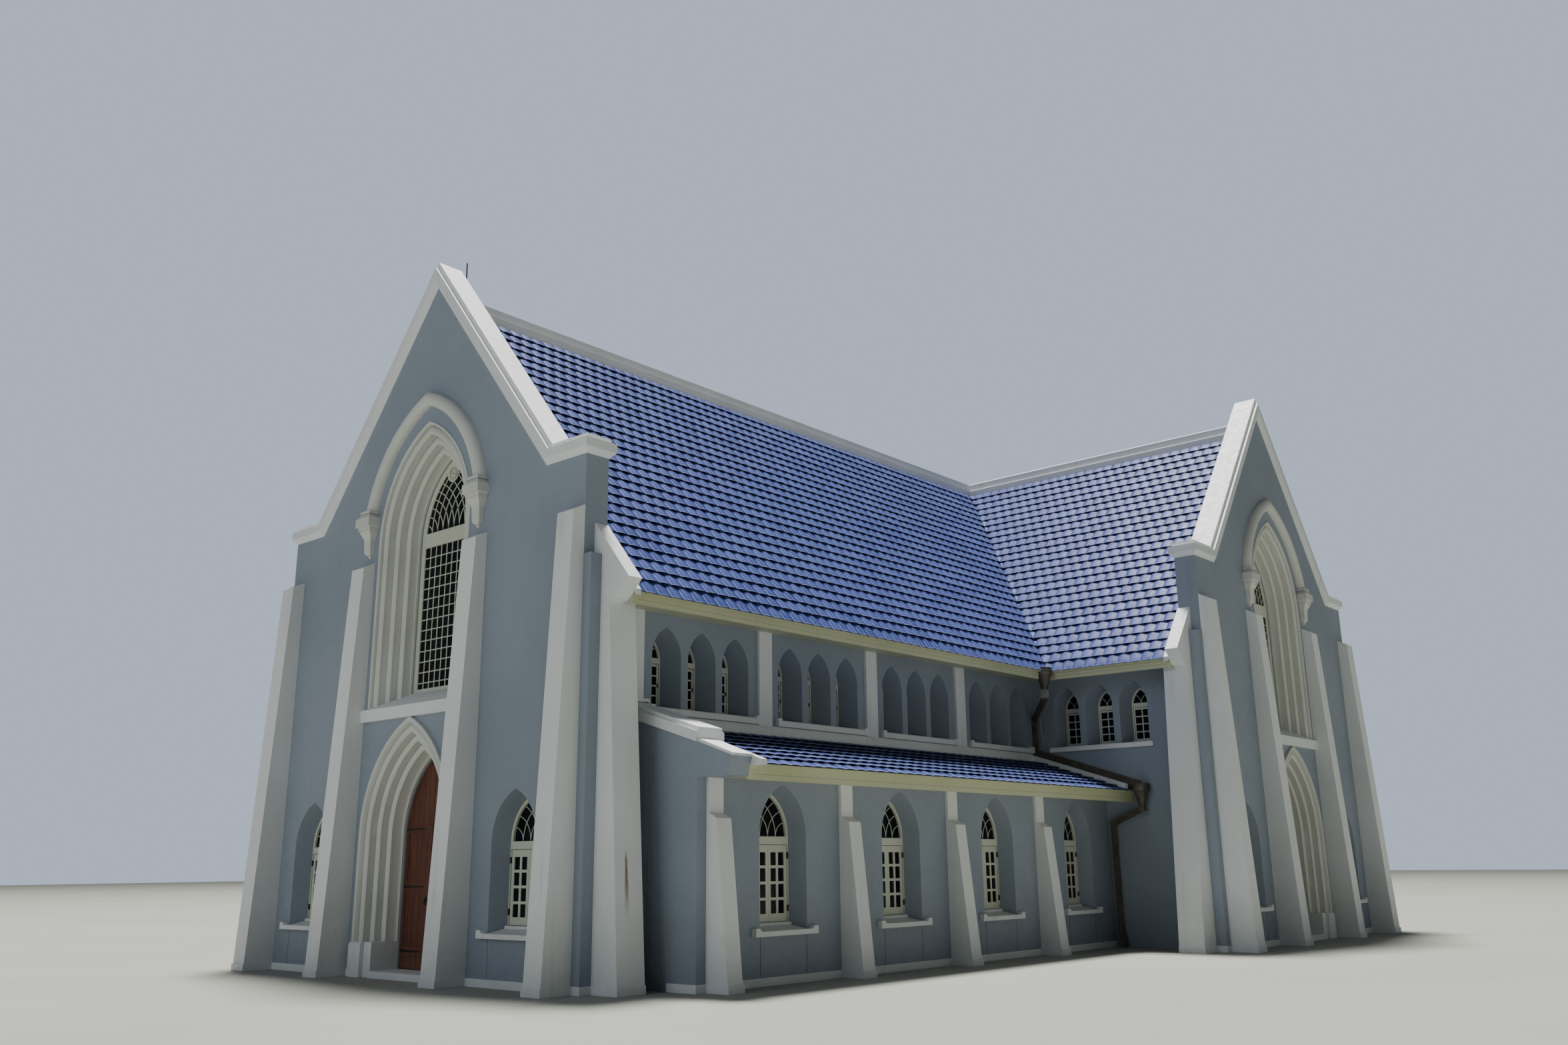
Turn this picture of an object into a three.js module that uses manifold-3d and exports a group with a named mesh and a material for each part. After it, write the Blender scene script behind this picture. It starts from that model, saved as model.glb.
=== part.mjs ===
// Pointed-arch church: a nave with two lean-to aisles, and a transept across its rear end.
// Millimetres, +Z up. The front gable looks along -Y, the transept gables along +X and -X.

import * as THREE from 'three';
import { mergeVertices } from 'three/addons/utils/BufferGeometryUtils.js';
import Module from 'manifold-3d';

const wasm = await Module();
wasm.setup();

// Clear joint between pieces that meet on a slope, on a curve or in a cut
const JOINT = 0.3;
// How far a cutting body runs past the face it starts from
const PAST = 20;

// Plan
const GABLE_HALF = 4000;
const GABLE_THICK = 666;
const PARAPET_THICK = 415;
const NAVE_HALF = 3680;
const SIDE_THICK = 440;
const TRANSEPT_FACE = 7610;
const CROSSING_Y = 16135;
const BAY = 2809;
const BAYS = 4;

// Gable outline
const SHOULDER_Z = 7290;
const SHOULDER_X = 3100;
const APEX_Z = 11090;
const RAKE = (APEX_Z - SHOULDER_Z) / SHOULDER_X;
const RAKE_COS = 1 / Math.hypot(1, RAKE);

// Main roof: tile plane at the eave, and its thickness measured upright, over the walls and
// where it passes over the fascia
const EAVE_HALF = 4590;
const EAVE_Z = 5273;
const ROOF_DROP = 95;
const ROOF_LIP = 25;
const RIDGE_Z = EAVE_Z + RAKE * EAVE_HALF;
const roofTop = (across) => RIDGE_Z - RAKE * across;
const roofUnder = (across) => roofTop(across) - ROOF_DROP;
const roofLip = (across) => roofTop(across) - ROOF_LIP;
const WALL_TOP = roofUnder(NAVE_HALF) - JOINT;

// Eaves box of the main roof
const FASCIA_OUT = 4540;
const FASCIA_IN = 4500;
const FASCIA_BOTTOM = 5105;
const SOFFIT_Z = 5245;
const SOFFIT_TOP = 5262;

// Ridge cap
const CAP_WIDE = 150;
const CAP_NARROW = 110;
const CAP_LEDGE_Z = 10870;
const CAP_TOP_Z = 11054;

// Coping of the gables, measured square to the wall top
const COPING_SOFFIT = 85;
const COPING_FILLET = 220;
const COPING_SLAB = 295;
const COPING_OUT = 80;
const SLAB_OUT = 20;

// Battered buttresses of the gables
const BUTTRESS_WIDE = 358;
const BUTTRESS_MID = 1545;
const BUTTRESS_FOOT = 497;
const BUTTRESS_HEAD = 202;
const BUTTRESS_FRONT_Z = 6418;
const BUTTRESS_WALL_Z = 6528;
const PIER_WIDE = 165;
const PIER_DEEP = 187;
const PIER_Z = 5814;

// Buttress on the return of each gable, with the raking coping that ends the eave
const RETURN_BACK = 434;
const RETURN_FOOT = 676;
const RETURN_HEAD = 345;
const KNEELER_UNDER_Z = 5130;
const KNEELER_UNDER_X = 461;
const KNEELER_TIP_X = 732;
const KNEELER_TIP_Z = 5419;
const KNEELER_TOP_Z = 6298;
const KERB_BACK = 520;
const KERB_RISE = 60;
const KERB_END_X = 4620;

// Base course
const PLINTH_OUT = 15;
const PLINTH_Z = 110;
const FLOOR_Z = 100;

// Great window of a gable
const WINDOW_OFFSET = 715;
const WINDOW_SPRING = 6870;
const WINDOW_OUTER = 1260;
const WINDOW_INNER = 775;
const MOULDING_DEEP = 480;
const WINDOW_SILL_Z = 4330;
const SILL_BAND_BOTTOM = 3870;
const SILL_BAND_TOP = 4060;
const SILL_BAND_OUT = 70;
const GLAZING_FRONT = 500;
const GLAZING_BACK = 560;
const BIG_STEPS = 4;

// Hood mould of the great window and its corbels
const HOOD_INNER = 1455;
const HOOD_OUTER = 1690;
const HOOD_OUT = 130;
const HOOD_FOOT_Z = 7420;
const CORBEL_X = 1510;
// Half width, depth and height of a corbel's edges, from the tip of its drop to its cap
const CORBEL_LEVELS = [
  [15, 15, 6622], [33, 34, 6664], [50, 52, 6680], [92, 82, 6745], [98, 90, 6920],
  [119, 108, 6990], [147, 145, 7050], [170, 170, 7095], [170, 170, 7140], [204, 213, 7150],
  [204, 213, 7300], [150, 180, 7330], [150, 180, 7360], [140, 171, 7365], [140, 171, 7430],
];

// Portal
const DOOR_HALF = 700;
const PORTAL_OUTER = 1200;
const PORTAL_SPRING = 2110;
const PORTAL_BAND_OUT = 50;
const PORTAL_BLOCK_Z = 510;

// Windows of the ground storey and of the upper storey
const LOWER = {
  outer: 500, inner: 415, offset: 260, spring: 1985, sill: 690, sillInner: 778,
  deep: 265, thick: 300, steps: 3, sillThick: 30, blockHalf: 660, blockOut: 85,
  blockBottom: 645, blockTop: 715, earTop: 757, earWide: 90,
};
const GABLE_LOWER = { ...LOWER, thick: GABLE_THICK, spring: 1945 };
const UPPER = {
  outer: 300, inner: 200, offset: 200, spring: 4600, sill: 3850, sillInner: 3880,
  deep: 350, thick: SIDE_THICK, steps: 2,
};
const UPPER_SPACING = 746;
const SHEET_THICK = 20;
const UPPER_BAND = { bottom: 3748, top: 3846, out: 70 };
const GABLE_WINDOW_X = 2690;

// Clerestory
const PILASTER_WIDE = 310;
const PILASTER_OUT = 52;
const PILASTER_FIRST = 1262;
const ARCADE_HALF = 1050;
const ARCADE_OFFSET = 350;
const ARCADE_SPRING = 1930;

// Aisle
const AISLE_FACE = 5213;
const AISLE_THICK = 300;
const AISLE_END_Y = 1045;
const AISLE_END_BACK = 1420;
const AISLE_FIRST_BUTTRESS = 1362;
const AISLE_BUTTRESS_WIDE = 279;
const AISLE_BUTTRESS_FOOT = 410;
const AISLE_BUTTRESS_HEAD = 192;
const AISLE_BUTTRESS_FRONT_Z = 2198;
const AISLE_BUTTRESS_WALL_Z = 2278;
const AISLE_PILASTER_OUT = 50;
const AISLE_EAVE_X = 5860;
const AISLE_EAVE_Z = 2900;
const AISLE_PITCH = 0.3257;
const AISLE_DROP = 95;
const AISLE_FASCIA_OUT = 5800;
const AISLE_FASCIA_IN = 5760;
const AISLE_FASCIA_BOTTOM = 2690;
const AISLE_SOFFIT_Z = 2750;
const AISLE_SOFFIT_TOP = 2767;
const aisleTop = (x) => AISLE_EAVE_Z + AISLE_PITCH * (AISLE_EAVE_X - x);
const aisleUnder = (x) => aisleTop(x) - AISLE_DROP;
const aisleLip = (x) => aisleTop(x) - ROOF_LIP;

// Parapet over the end wall of an aisle
const AISLE_PARAPET_X = 5247;
const AISLE_PARAPET_Z = 3200;
const AISLE_KNEELER_X = 5779;
const AISLE_KNEELER_Z = 2735;
const AISLE_TIP_X = 5865;
const AISLE_TIP_Z = 2988;
const AISLE_PARAPET_PITCH = 0.315;
const AISLE_KERB_BACK = 1530;
const AISLE_KERB_X = 6030;
const AISLE_KERB_Z = 2950;
const parapetTop = (x) => AISLE_PARAPET_Z + AISLE_PARAPET_PITCH * (AISLE_PARAPET_X - x);

// Eight-sided hoppers: one in front of the inner corner of the main eaves, one at the gutter's end
const HOPPER_REACH = 155;
const HOPPER_NOTCH = 170;
const UPPER_HOPPER = [4560, 11450, 5340];
const LOWER_HOPPER = [6045, 12296, 3035];
const DUCT_HALF = 45;
const COUPLING_HALF = 58;

// Valley gutter between the aisle roof and the transept
const VERGE_FRONT = 12150;
const VERGE_BACK = 12250;
const VERGE_RISE = 120;

// Upper windows of the transept
const TRANSEPT_WINDOW_X = 5190;
const REAR_FACE = CROSSING_Y + NAVE_HALF;
const SIDE_FACE = CROSSING_Y - NAVE_HALF;

// The plan's middle, which becomes the origin
const FRONT_LIMIT = -BUTTRESS_FOOT - PLINTH_OUT;
const REAR_LIMIT = CROSSING_Y + GABLE_HALF + KNEELER_TIP_X;
const CENTRE_Y = (FRONT_LIMIT + REAR_LIMIT) / 2;

// Directions that carry an outline's two axes and its extrusion to the building's axes
const frameOf = (x, y, z, at) => new THREE.Matrix4()
  .makeBasis(new THREE.Vector3(...x), new THREE.Vector3(...y), new THREE.Vector3(...z))
  .setPosition(...at);

function extrude(points, depth, matrix) {
  const shape = new THREE.Shape(points.map(([u, v]) => new THREE.Vector2(u, v)));
  const geometry = new THREE.ExtrudeGeometry(shape, { depth, bevelEnabled: false });
  return geometry.applyMatrix4(matrix);
}

// Outline in x and z, from one y to another
const alongY = (points, from, to) =>
  extrude(points, to - from, frameOf([1, 0, 0], [0, 0, 1], [0, -1, 0], [0, to, 0]));

// Outline in y and z, from one x to another
const alongX = (points, from, to) =>
  extrude(points, to - from, frameOf([0, 1, 0], [0, 0, 1], [1, 0, 0], [from, 0, 0]));

// Outline in x and y, from one height to another
const alongZ = (points, from, to) =>
  extrude(points, to - from, frameOf([1, 0, 0], [0, 1, 0], [0, 0, 1], [0, 0, from]));

function box(x0, x1, y0, y1, z0, z1) {
  const geometry = new THREE.BoxGeometry(x1 - x0, y1 - y0, z1 - z0);
  return geometry.translate((x0 + x1) / 2, (y0 + y1) / 2, (z0 + z1) / 2);
}

function toSolid(geometry) {
  const bare = geometry.clone();
  bare.deleteAttribute('normal');
  bare.deleteAttribute('uv');
  const merged = mergeVertices(bare, 1e-3);
  return new wasm.Manifold(new wasm.Mesh({
    numProp: 3,
    vertProperties: new Float32Array(merged.attributes.position.array),
    triVerts: new Uint32Array(merged.index.array),
  }));
}

function toGeometry(solid) {
  const mesh = solid.getMesh();
  const geometry = new THREE.BufferGeometry();
  geometry.setAttribute('position', new THREE.BufferAttribute(mesh.vertProperties, 3));
  geometry.setIndex(new THREE.BufferAttribute(mesh.triVerts, 1));
  return geometry;
}

const join = (pieces) => toGeometry(pieces.map(toSolid).reduce((sum, piece) => sum.add(piece)));

function cut(base, tools) {
  return toGeometry(tools.map(toSolid).reduce((rest, tool) => rest.subtract(tool), toSolid(base)));
}

// The same body on the other side of the nave
function mirrorX(geometry) {
  const mirrored = geometry.clone().applyMatrix4(new THREE.Matrix4().makeScale(-1, 1, 1));
  const index = mirrored.index.array.slice();
  for (let i = 0; i < index.length; i += 3) {
    [index[i], index[i + 1]] = [index[i + 1], index[i]];
  }
  mirrored.setIndex(new THREE.BufferAttribute(index, 1));
  return mirrored;
}

// A body through rings of equal length, closed by caps that have the given flat outline
function loft(rings, outline) {
  const count = rings[0].length;
  const index = [];
  for (let r = 0; r + 1 < rings.length; r += 1) {
    for (let i = 0; i < count; i += 1) {
      const next = (i + 1) % count;
      const a = r * count + i;
      const b = r * count + next;
      index.push(a, b, b + count, a, b + count, a + count);
    }
  }
  const flat = outline.map(([u, v]) => new THREE.Vector2(u, v));
  const last = (rings.length - 1) * count;
  const faces = THREE.ShapeUtils.triangulateShape(flat, []);
  if (THREE.ShapeUtils.area(flat) < 0) faces.forEach((face) => face.reverse());
  for (const [a, b, c] of faces) {
    index.push(c, b, a, last + a, last + b, last + c);
  }
  const geometry = new THREE.BufferGeometry();
  geometry.setAttribute('position', new THREE.Float32BufferAttribute(rings.flat(2), 3));
  geometry.setIndex(index);
  return outward(geometry);
}

// Turns the faces round when they look into the body
function outward(geometry) {
  const at = geometry.attributes.position;
  const index = geometry.index.array;
  const corner = [0, 1, 2].map(() => new THREE.Vector3());
  let volume = 0;
  for (let i = 0; i < index.length; i += 3) {
    corner.forEach((point, k) => point.fromBufferAttribute(at, index[i + k]));
    volume += corner[0].dot(corner[1].cross(corner[2]));
  }
  if (volume < 0) {
    for (let i = 0; i < index.length; i += 3) {
      [index[i], index[i + 1]] = [index[i + 1], index[i]];
    }
  }
  return geometry;
}

// Pointed outline in x and z: both arcs are struck from the springing line
function archOutline(half, offset, spring, base, steps) {
  const radius = half + offset;
  const top = Math.acos(offset / radius);
  const right = [];
  for (let i = 0; i < steps; i += 1) {
    const angle = (top * i) / steps;
    right.push([radius * Math.cos(angle) - offset, spring + radius * Math.sin(angle)]);
  }
  const left = right.map(([x, z]) => [-x, z]).reverse();
  const apex = [0, spring + radius * Math.sin(top)];
  return [[half, base], ...right, apex, ...left, [-half, base]];
}

const shift = (points, dx) => points.map(([x, z]) => [x + dx, z]);

// A moulding swept up one jamb, over the arch and down the other.
// The profile gives distance from the axis and depth, and start is the height of its feet.
function archMoulding(profile, offset, spring, start, steps) {
  const station = (share, side) => profile.map(([half, depth]) => {
    const radius = half + offset;
    const foot = start > spring ? Math.asin((start - spring) / radius) : 0;
    const angle = foot + (Math.acos(offset / radius) - foot) * share;
    return [side * (radius * Math.cos(angle) - offset), depth, spring + radius * Math.sin(angle)];
  });
  const rings = [];
  const feet = (side) => profile.map(([half, depth]) => [side * half, depth, start]);
  if (start < spring) rings.push(feet(1));
  for (let i = 0; i <= steps; i += 1) rings.push(station(i / steps, 1));
  for (let i = steps - 1; i >= 0; i -= 1) rings.push(station(i / steps, -1));
  if (start < spring) rings.push(feet(-1));
  return loft(rings, profile);
}

// Half-round roll on the splay of an opening
function roll(half, depth, radius) {
  return [315, 225, 135].map((degrees) => {
    const angle = THREE.MathUtils.degToRad(degrees);
    return [half + radius * Math.cos(angle), depth + radius * Math.sin(angle)];
  });
}

// Opening with a splayed reveal, in a wall's own frame: x along it, y into it
function windowVoid(at, w) {
  const outer = archOutline(w.outer, w.offset, w.spring, w.sill, w.steps);
  const inner = archOutline(w.inner, w.offset, w.spring, w.sillInner, w.steps);
  const before = outer.map(([x, z], i) => [
    x + ((x - inner[i][0]) * PAST) / w.deep,
    z + ((z - inner[i][1]) * PAST) / w.deep,
  ]);
  const ring = (points, y) => points.map(([x, z]) => [x + at, y, z]);
  return loft([ring(before, -PAST), ring(inner, w.deep), ring(inner, w.thick + PAST)], outer);
}

// Frame and panes of one window as a plate
function windowUnit(at, w) {
  const base = w.sillInner + JOINT;
  const plate = archOutline(w.inner - JOINT, w.offset, w.spring, base, w.steps);
  return alongY(shift(plate, at), w.deep + 5, w.thick + SHEET_THICK);
}

// Sloping sill on the reveal, from the sill block to the frame
function sillSlope(at, w) {
  const half = (y) => w.outer + ((w.inner - w.outer) * y) / w.deep - 1;
  const low = (y) => w.sill + ((w.sillInner - w.sill) * y) / w.deep + 1;
  const section = (y, x) => [
    [at - x, y, low(y)], [at + x, y, low(y)],
    [at + x, y, low(y) + w.sillThick - 1], [at - x, y, low(y) + w.sillThick - 1],
  ];
  const rings = [section(-1, half(-1)), section(w.deep, half(w.deep)), section(w.deep + 10, half(w.deep))];
  return loft(rings, [[0, 0], [1, 0], [1, 1], [0, 1]]);
}

// Sill block with raised ends, as under each window of the ground storey
function sillBlock(at, w) {
  const half = w.blockHalf;
  const outline = [
    [at - half, w.blockBottom], [at + half, w.blockBottom],
    [at + half, w.earTop], [at + half - w.earWide, w.earTop],
    [at + half - w.earWide - 25, w.blockTop], [at - half + w.earWide + 25, w.blockTop],
    [at - half + w.earWide, w.earTop], [at - half, w.earTop],
  ];
  return alongY(outline, -w.blockOut, 0);
}

const white = { color: 0xe9ebea, roughness: 0.75, metalness: 0 };
const grey = { color: 0x9aa0a2, roughness: 0.85, metalness: 0 };
const cream = { color: 0xe4e3cf, roughness: 0.6, metalness: 0 };
const tile = { color: 0x3c4c8c, roughness: 0.25, metalness: 0 };
const timber = { color: 0x5a2e20, roughness: 0.55, metalness: 0 };
const bronze = { color: 0x3a362f, roughness: 0.45, metalness: 0.6 };
const screed = { color: 0x8d8a84, roughness: 0.9, metalness: 0 };

function named(name, geometry, finish) {
  const mesh = new THREE.Mesh(geometry, new THREE.MeshStandardMaterial(finish));
  mesh.name = name;
  return mesh;
}

// Gable wall: thick up to the roof, thinner where it stands above it as a parapet
function gableWall() {
  const parapet = alongY([
    [-GABLE_HALF, 0], [GABLE_HALF, 0], [GABLE_HALF, SHOULDER_Z], [SHOULDER_X, SHOULDER_Z],
    [0, APEX_Z], [-SHOULDER_X, SHOULDER_Z], [-GABLE_HALF, SHOULDER_Z],
  ], 0, PARAPET_THICK);
  const shoulder = roofUnder(GABLE_HALF) - JOINT;
  const thick = alongY([
    [-GABLE_HALF, 0], [GABLE_HALF, 0], [GABLE_HALF, shoulder],
    [0, roofUnder(0) - JOINT], [-GABLE_HALF, shoulder],
  ], PARAPET_THICK - 1, GABLE_THICK);
  const arch = (half, offset, spring, base) => archOutline(half, offset, spring, base, BIG_STEPS);
  return cut(join([parapet, thick]), [
    alongY(arch(WINDOW_OUTER, WINDOW_OFFSET, WINDOW_SPRING, SILL_BAND_TOP), -PAST, MOULDING_DEEP),
    alongY(arch(WINDOW_INNER, WINDOW_OFFSET, WINDOW_SPRING, WINDOW_SILL_Z), 0, GABLE_THICK + PAST),
    alongY(arch(PORTAL_OUTER, DOOR_HALF, PORTAL_SPRING, -PAST), -PAST, MOULDING_DEEP),
    alongY(arch(DOOR_HALF, DOOR_HALF, PORTAL_SPRING, -PAST), 0, GABLE_THICK + PAST),
    windowVoid(-GABLE_WINDOW_X, GABLE_LOWER),
    windowVoid(GABLE_WINDOW_X, GABLE_LOWER),
  ]);
}

// Coping: splayed soffit, fillet and top slab, up both rakes and round the ends of the shoulders
function gableCoping() {
  const back = PARAPET_THICK;
  const profile = [
    [0, 0], [-COPING_OUT, COPING_SOFFIT], [-COPING_OUT, COPING_FILLET],
    [-SLAB_OUT, COPING_FILLET], [-SLAB_OUT, COPING_SLAB], [back + SLAB_OUT, COPING_SLAB],
    [back + SLAB_OUT, COPING_FILLET], [back + COPING_OUT, COPING_FILLET],
    [back + COPING_OUT, COPING_SOFFIT], [back, 0],
  ];
  const mitre = Math.tan(Math.atan(RAKE) / 2);
  const inside = GABLE_HALF - 400;
  const level = (side) => profile.map(([y, h]) => [side * inside, y, SHOULDER_Z + h]);
  const bend = (side) => profile.map(([y, h]) => [
    side * (SHOULDER_X + h * mitre), y, SHOULDER_Z + h,
  ]);
  const apex = profile.map(([y, h]) => [0, y, APEX_Z + h / RAKE_COS]);
  const end = (side) => {
    const ring = (out, h) => {
      const near = side * (inside - 100);
      const far = side * (GABLE_HALF + out);
      const z = SHOULDER_Z + h;
      return [[near, -out, z], [far, -out, z], [far, back + out, z], [near, back + out, z]];
    };
    const square = [[0, 0], [1, 0], [1, 1], [0, 1]];
    return [
      loft([ring(0, 0), ring(COPING_OUT, COPING_SOFFIT), ring(COPING_OUT, COPING_FILLET)], square),
      loft([ring(SLAB_OUT, COPING_FILLET - 1), ring(SLAB_OUT, COPING_SLAB)], square),
    ];
  };
  const rakes = loft([level(-1), bend(-1), apex, bend(1), level(1)], profile);
  return join([rakes, ...end(-1), ...end(1)]);
}

// Three rolls stepping in from the wall face, then a hollow against the frame
function rollProfile(outer, firstRoll, step, depth, radius, inner) {
  const points = [[outer, MOULDING_DEEP]];
  for (let k = 0; k < 3; k += 1) {
    points.push(...roll(firstRoll - k * step, depth + k * step, radius));
  }
  const lastHalf = firstRoll - 2 * step;
  points.push([(lastHalf - radius + inner) / 2, MOULDING_DEEP - 45], [inner, MOULDING_DEEP]);
  return points;
}

function windowOrders() {
  const profile = rollProfile(WINDOW_OUTER - JOINT, 1130, 130, 90, 75, WINDOW_INNER);
  profile.splice(1, 0, [WINDOW_OUTER - JOINT, 0], [1200, 40]);
  return archMoulding(profile, WINDOW_OFFSET, WINDOW_SPRING, SILL_BAND_TOP, BIG_STEPS);
}

function portalOrders() {
  const profile = rollProfile(PORTAL_OUTER - JOINT, 1040, 120, 60, 70, DOOR_HALF);
  const out = -PORTAL_BAND_OUT;
  profile.splice(1, 0, [PORTAL_OUTER - JOINT, out], [1130, out], [1105, 5]);
  return archMoulding(profile, DOOR_HALF, PORTAL_SPRING, PORTAL_BLOCK_Z - 1, BIG_STEPS);
}

// Orders of the window and the portal, with the sill between them and the blocks at the foot
function gableMouldings() {
  const jambs = WINDOW_OUTER - JOINT;
  const sill = alongX([
    [0, SILL_BAND_TOP], [MOULDING_DEEP, SILL_BAND_TOP], [MOULDING_DEEP, WINDOW_SILL_Z],
    [0, SILL_BAND_TOP + 30],
  ], -jambs, jambs);
  const band = alongX([
    [-SILL_BAND_OUT, SILL_BAND_BOTTOM], [0, SILL_BAND_BOTTOM], [0, SILL_BAND_TOP + 30],
    [-SILL_BAND_OUT, SILL_BAND_TOP],
  ], -BUTTRESS_MID + BUTTRESS_WIDE / 2, BUTTRESS_MID - BUTTRESS_WIDE / 2);
  const block = (side) => {
    const near = side * DOOR_HALF;
    const far = side * (PORTAL_OUTER - JOINT);
    const front = side * (PORTAL_OUTER + 30);
    return [
      box(Math.min(near, far), Math.max(near, far), -1, MOULDING_DEEP, 0, PORTAL_BLOCK_Z),
      box(Math.min(near, front), Math.max(near, front), -SILL_BAND_OUT, 0, 0, PORTAL_BLOCK_Z),
    ];
  };
  const threshold = box(-DOOR_HALF - 1, DOOR_HALF + 1, -40, MOULDING_DEEP, 0, FLOOR_Z);
  return join([windowOrders(), sill, band, portalOrders(), ...block(-1), ...block(1), threshold]);
}

// Hood mould on two corbels: cap, block, tapering console and a small drop
function gableHood() {
  const middle = (HOOD_INNER + HOOD_OUTER) / 2;
  const reach = (HOOD_OUTER - HOOD_INNER) / 2;
  const profile = [];
  for (let i = 0; i <= 3; i += 1) {
    const angle = (Math.PI * i) / 3;
    profile.push([middle + reach * Math.cos(angle), -HOOD_OUT * Math.sin(angle)]);
  }
  const mould = archMoulding(profile, WINDOW_OFFSET, WINDOW_SPRING, HOOD_FOOT_Z, BIG_STEPS);
  const corbel = (side) => {
    const x = side * CORBEL_X;
    const level = ([half, out, z]) => [
      [x - half, 0, z], [x + half, 0, z], [x + half, -out, z], [x - half, -out, z],
    ];
    return loft(CORBEL_LEVELS.map(level), [[0, 0], [1, 0], [1, -1], [0, -1]]);
  };
  return join([mould, corbel(-1), corbel(1)]);
}

function batteredButtress(x0, x1) {
  const section = [
    [0, 0], [-BUTTRESS_FOOT, 0], [-BUTTRESS_HEAD, BUTTRESS_FRONT_Z], [0, BUTTRESS_WALL_Z],
  ];
  const base = box(x0 - PLINTH_OUT, x1 + PLINTH_OUT, FRONT_LIMIT, 0, 0, PLINTH_Z);
  return [alongX(section, x0, x1), base];
}

// Both buttresses of one half of a gable, the corner pier and the buttress on the return
function gableButtresses(side) {
  const half = BUTTRESS_WIDE / 2;
  const corner = GABLE_HALF;
  const rise = (z) => RETURN_FOOT + ((RETURN_HEAD - RETURN_FOOT) * z) / KNEELER_UNDER_Z;
  const foot = [[corner, 0], [corner + RETURN_FOOT, 0]];
  const front = alongY([
    ...foot, [corner + RETURN_HEAD, KNEELER_UNDER_Z], [corner + KNEELER_UNDER_X, KNEELER_UNDER_Z + 14],
    [corner + KNEELER_TIP_X, KNEELER_TIP_Z], [corner, KNEELER_TOP_Z],
  ], PIER_DEEP, RETURN_BACK);
  const back = alongY([
    ...foot, [corner + rise(SOFFIT_Z - JOINT), SOFFIT_Z - JOINT], [corner, SOFFIT_Z - JOINT],
  ], RETURN_BACK - 1, GABLE_THICK);
  const inner = FASCIA_IN - JOINT;
  const kerb = alongY([
    [corner, roofUnder(corner)], [inner, roofUnder(inner)],
    [inner, roofLip(inner)], [KERB_END_X, roofLip(KERB_END_X)],
    [KERB_END_X, roofTop(KERB_END_X) + KERB_RISE], [corner, roofTop(corner) + KERB_RISE],
  ], RETURN_BACK - 1, KERB_BACK);
  const pier = box(corner, corner + PIER_WIDE, -5, PIER_DEEP + 1, 0, PIER_Z);
  const pierBase = box(
    corner, corner + PIER_WIDE + PLINTH_OUT, -PLINTH_OUT, PIER_DEEP + 1, 0, PLINTH_Z,
  );
  const returnBase = box(
    corner, corner + RETURN_FOOT + PLINTH_OUT, PIER_DEEP - PLINTH_OUT, GABLE_THICK, 0, PLINTH_Z,
  );
  const wallBase = box(PORTAL_OUTER + 30, corner + 1, -PLINTH_OUT, 0, 0, PLINTH_Z);
  const pieces = join([
    ...batteredButtress(BUTTRESS_MID - half, BUTTRESS_MID + half),
    ...batteredButtress(corner - BUTTRESS_WIDE, corner),
    front, back, kerb, pier, pierBase, returnBase, wallBase,
  ]);
  return side > 0 ? pieces : mirrorX(pieces);
}

// One sheet carries both lower windows of a gable, and passes over the doors
function gableLowerWindows() {
  const w = GABLE_LOWER;
  const reach = GABLE_WINDOW_X + w.outer;
  const sheet = cut(
    box(-reach, reach, w.thick + JOINT, w.thick + SHEET_THICK, w.sillInner - 100, 3600),
    [alongY(
      archOutline(DOOR_HALF + 60, DOOR_HALF, PORTAL_SPRING, 0, BIG_STEPS),
      w.thick - PAST, w.thick + 2 * PAST,
    )],
  );
  const units = [-1, 1].flatMap((side) => [
    windowUnit(side * GABLE_WINDOW_X, w),
    sillSlope(side * GABLE_WINDOW_X, w),
    sillBlock(side * GABLE_WINDOW_X, w),
  ]);
  return join([sheet, ...units]);
}

function gableGlazing() {
  const outline = archOutline(
    WINDOW_INNER - JOINT, WINDOW_OFFSET, WINDOW_SPRING, WINDOW_SILL_Z, BIG_STEPS,
  );
  return alongY(outline, GLAZING_FRONT, GLAZING_BACK);
}

function gableDoors() {
  const outline = archOutline(DOOR_HALF - JOINT, DOOR_HALF, PORTAL_SPRING, FLOOR_Z, BIG_STEPS);
  return alongY(outline, GLAZING_FRONT, GLAZING_BACK);
}

const gablePieces = {
  wall: [gableWall(), grey],
  coping: [gableCoping(), white],
  mouldings: [gableMouldings(), white],
  hood_mould: [gableHood(), white],
  buttresses_a: [gableButtresses(1), white],
  buttresses_b: [gableButtresses(-1), white],
  lower_windows: [gableLowerWindows(), cream],
  great_window: [gableGlazing(), cream],
  doors: [gableDoors(), timber],
};

function gable(prefix, x, y, angle) {
  const group = new THREE.Group();
  for (const [name, [geometry, finish]] of Object.entries(gablePieces)) {
    group.add(named(`${prefix}_${name}`, geometry, finish));
  }
  group.position.set(x, y, 0);
  group.rotation.z = angle;
  return group;
}

// Frames of the straight walls: x along the wall, y into it
const rightWall = (x) => frameOf([0, 1, 0], [-1, 0, 0], [0, 0, 1], [x, 0, 0]);
const sideWall = frameOf([1, 0, 0], [0, 1, 0], [0, 0, 1], [0, SIDE_FACE, 0]);
const rearWall = frameOf([-1, 0, 0], [0, -1, 0], [0, 0, 1], [0, REAR_FACE, 0]);
const place = (pieces, matrix) => pieces.map((piece) => piece.applyMatrix4(matrix));

const bayCentre = (first, k) => first + (k + 0.5) * BAY;
const trio = (centre) => [-1, 0, 1].map((k) => centre + k * UPPER_SPACING);
const naveUpper = [...Array(BAYS).keys()].flatMap((k) => trio(bayCentre(PILASTER_FIRST, k)));
const transeptUpper = trio(TRANSEPT_WINDOW_X);
const transeptInner = TRANSEPT_FACE - GABLE_THICK;

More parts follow.
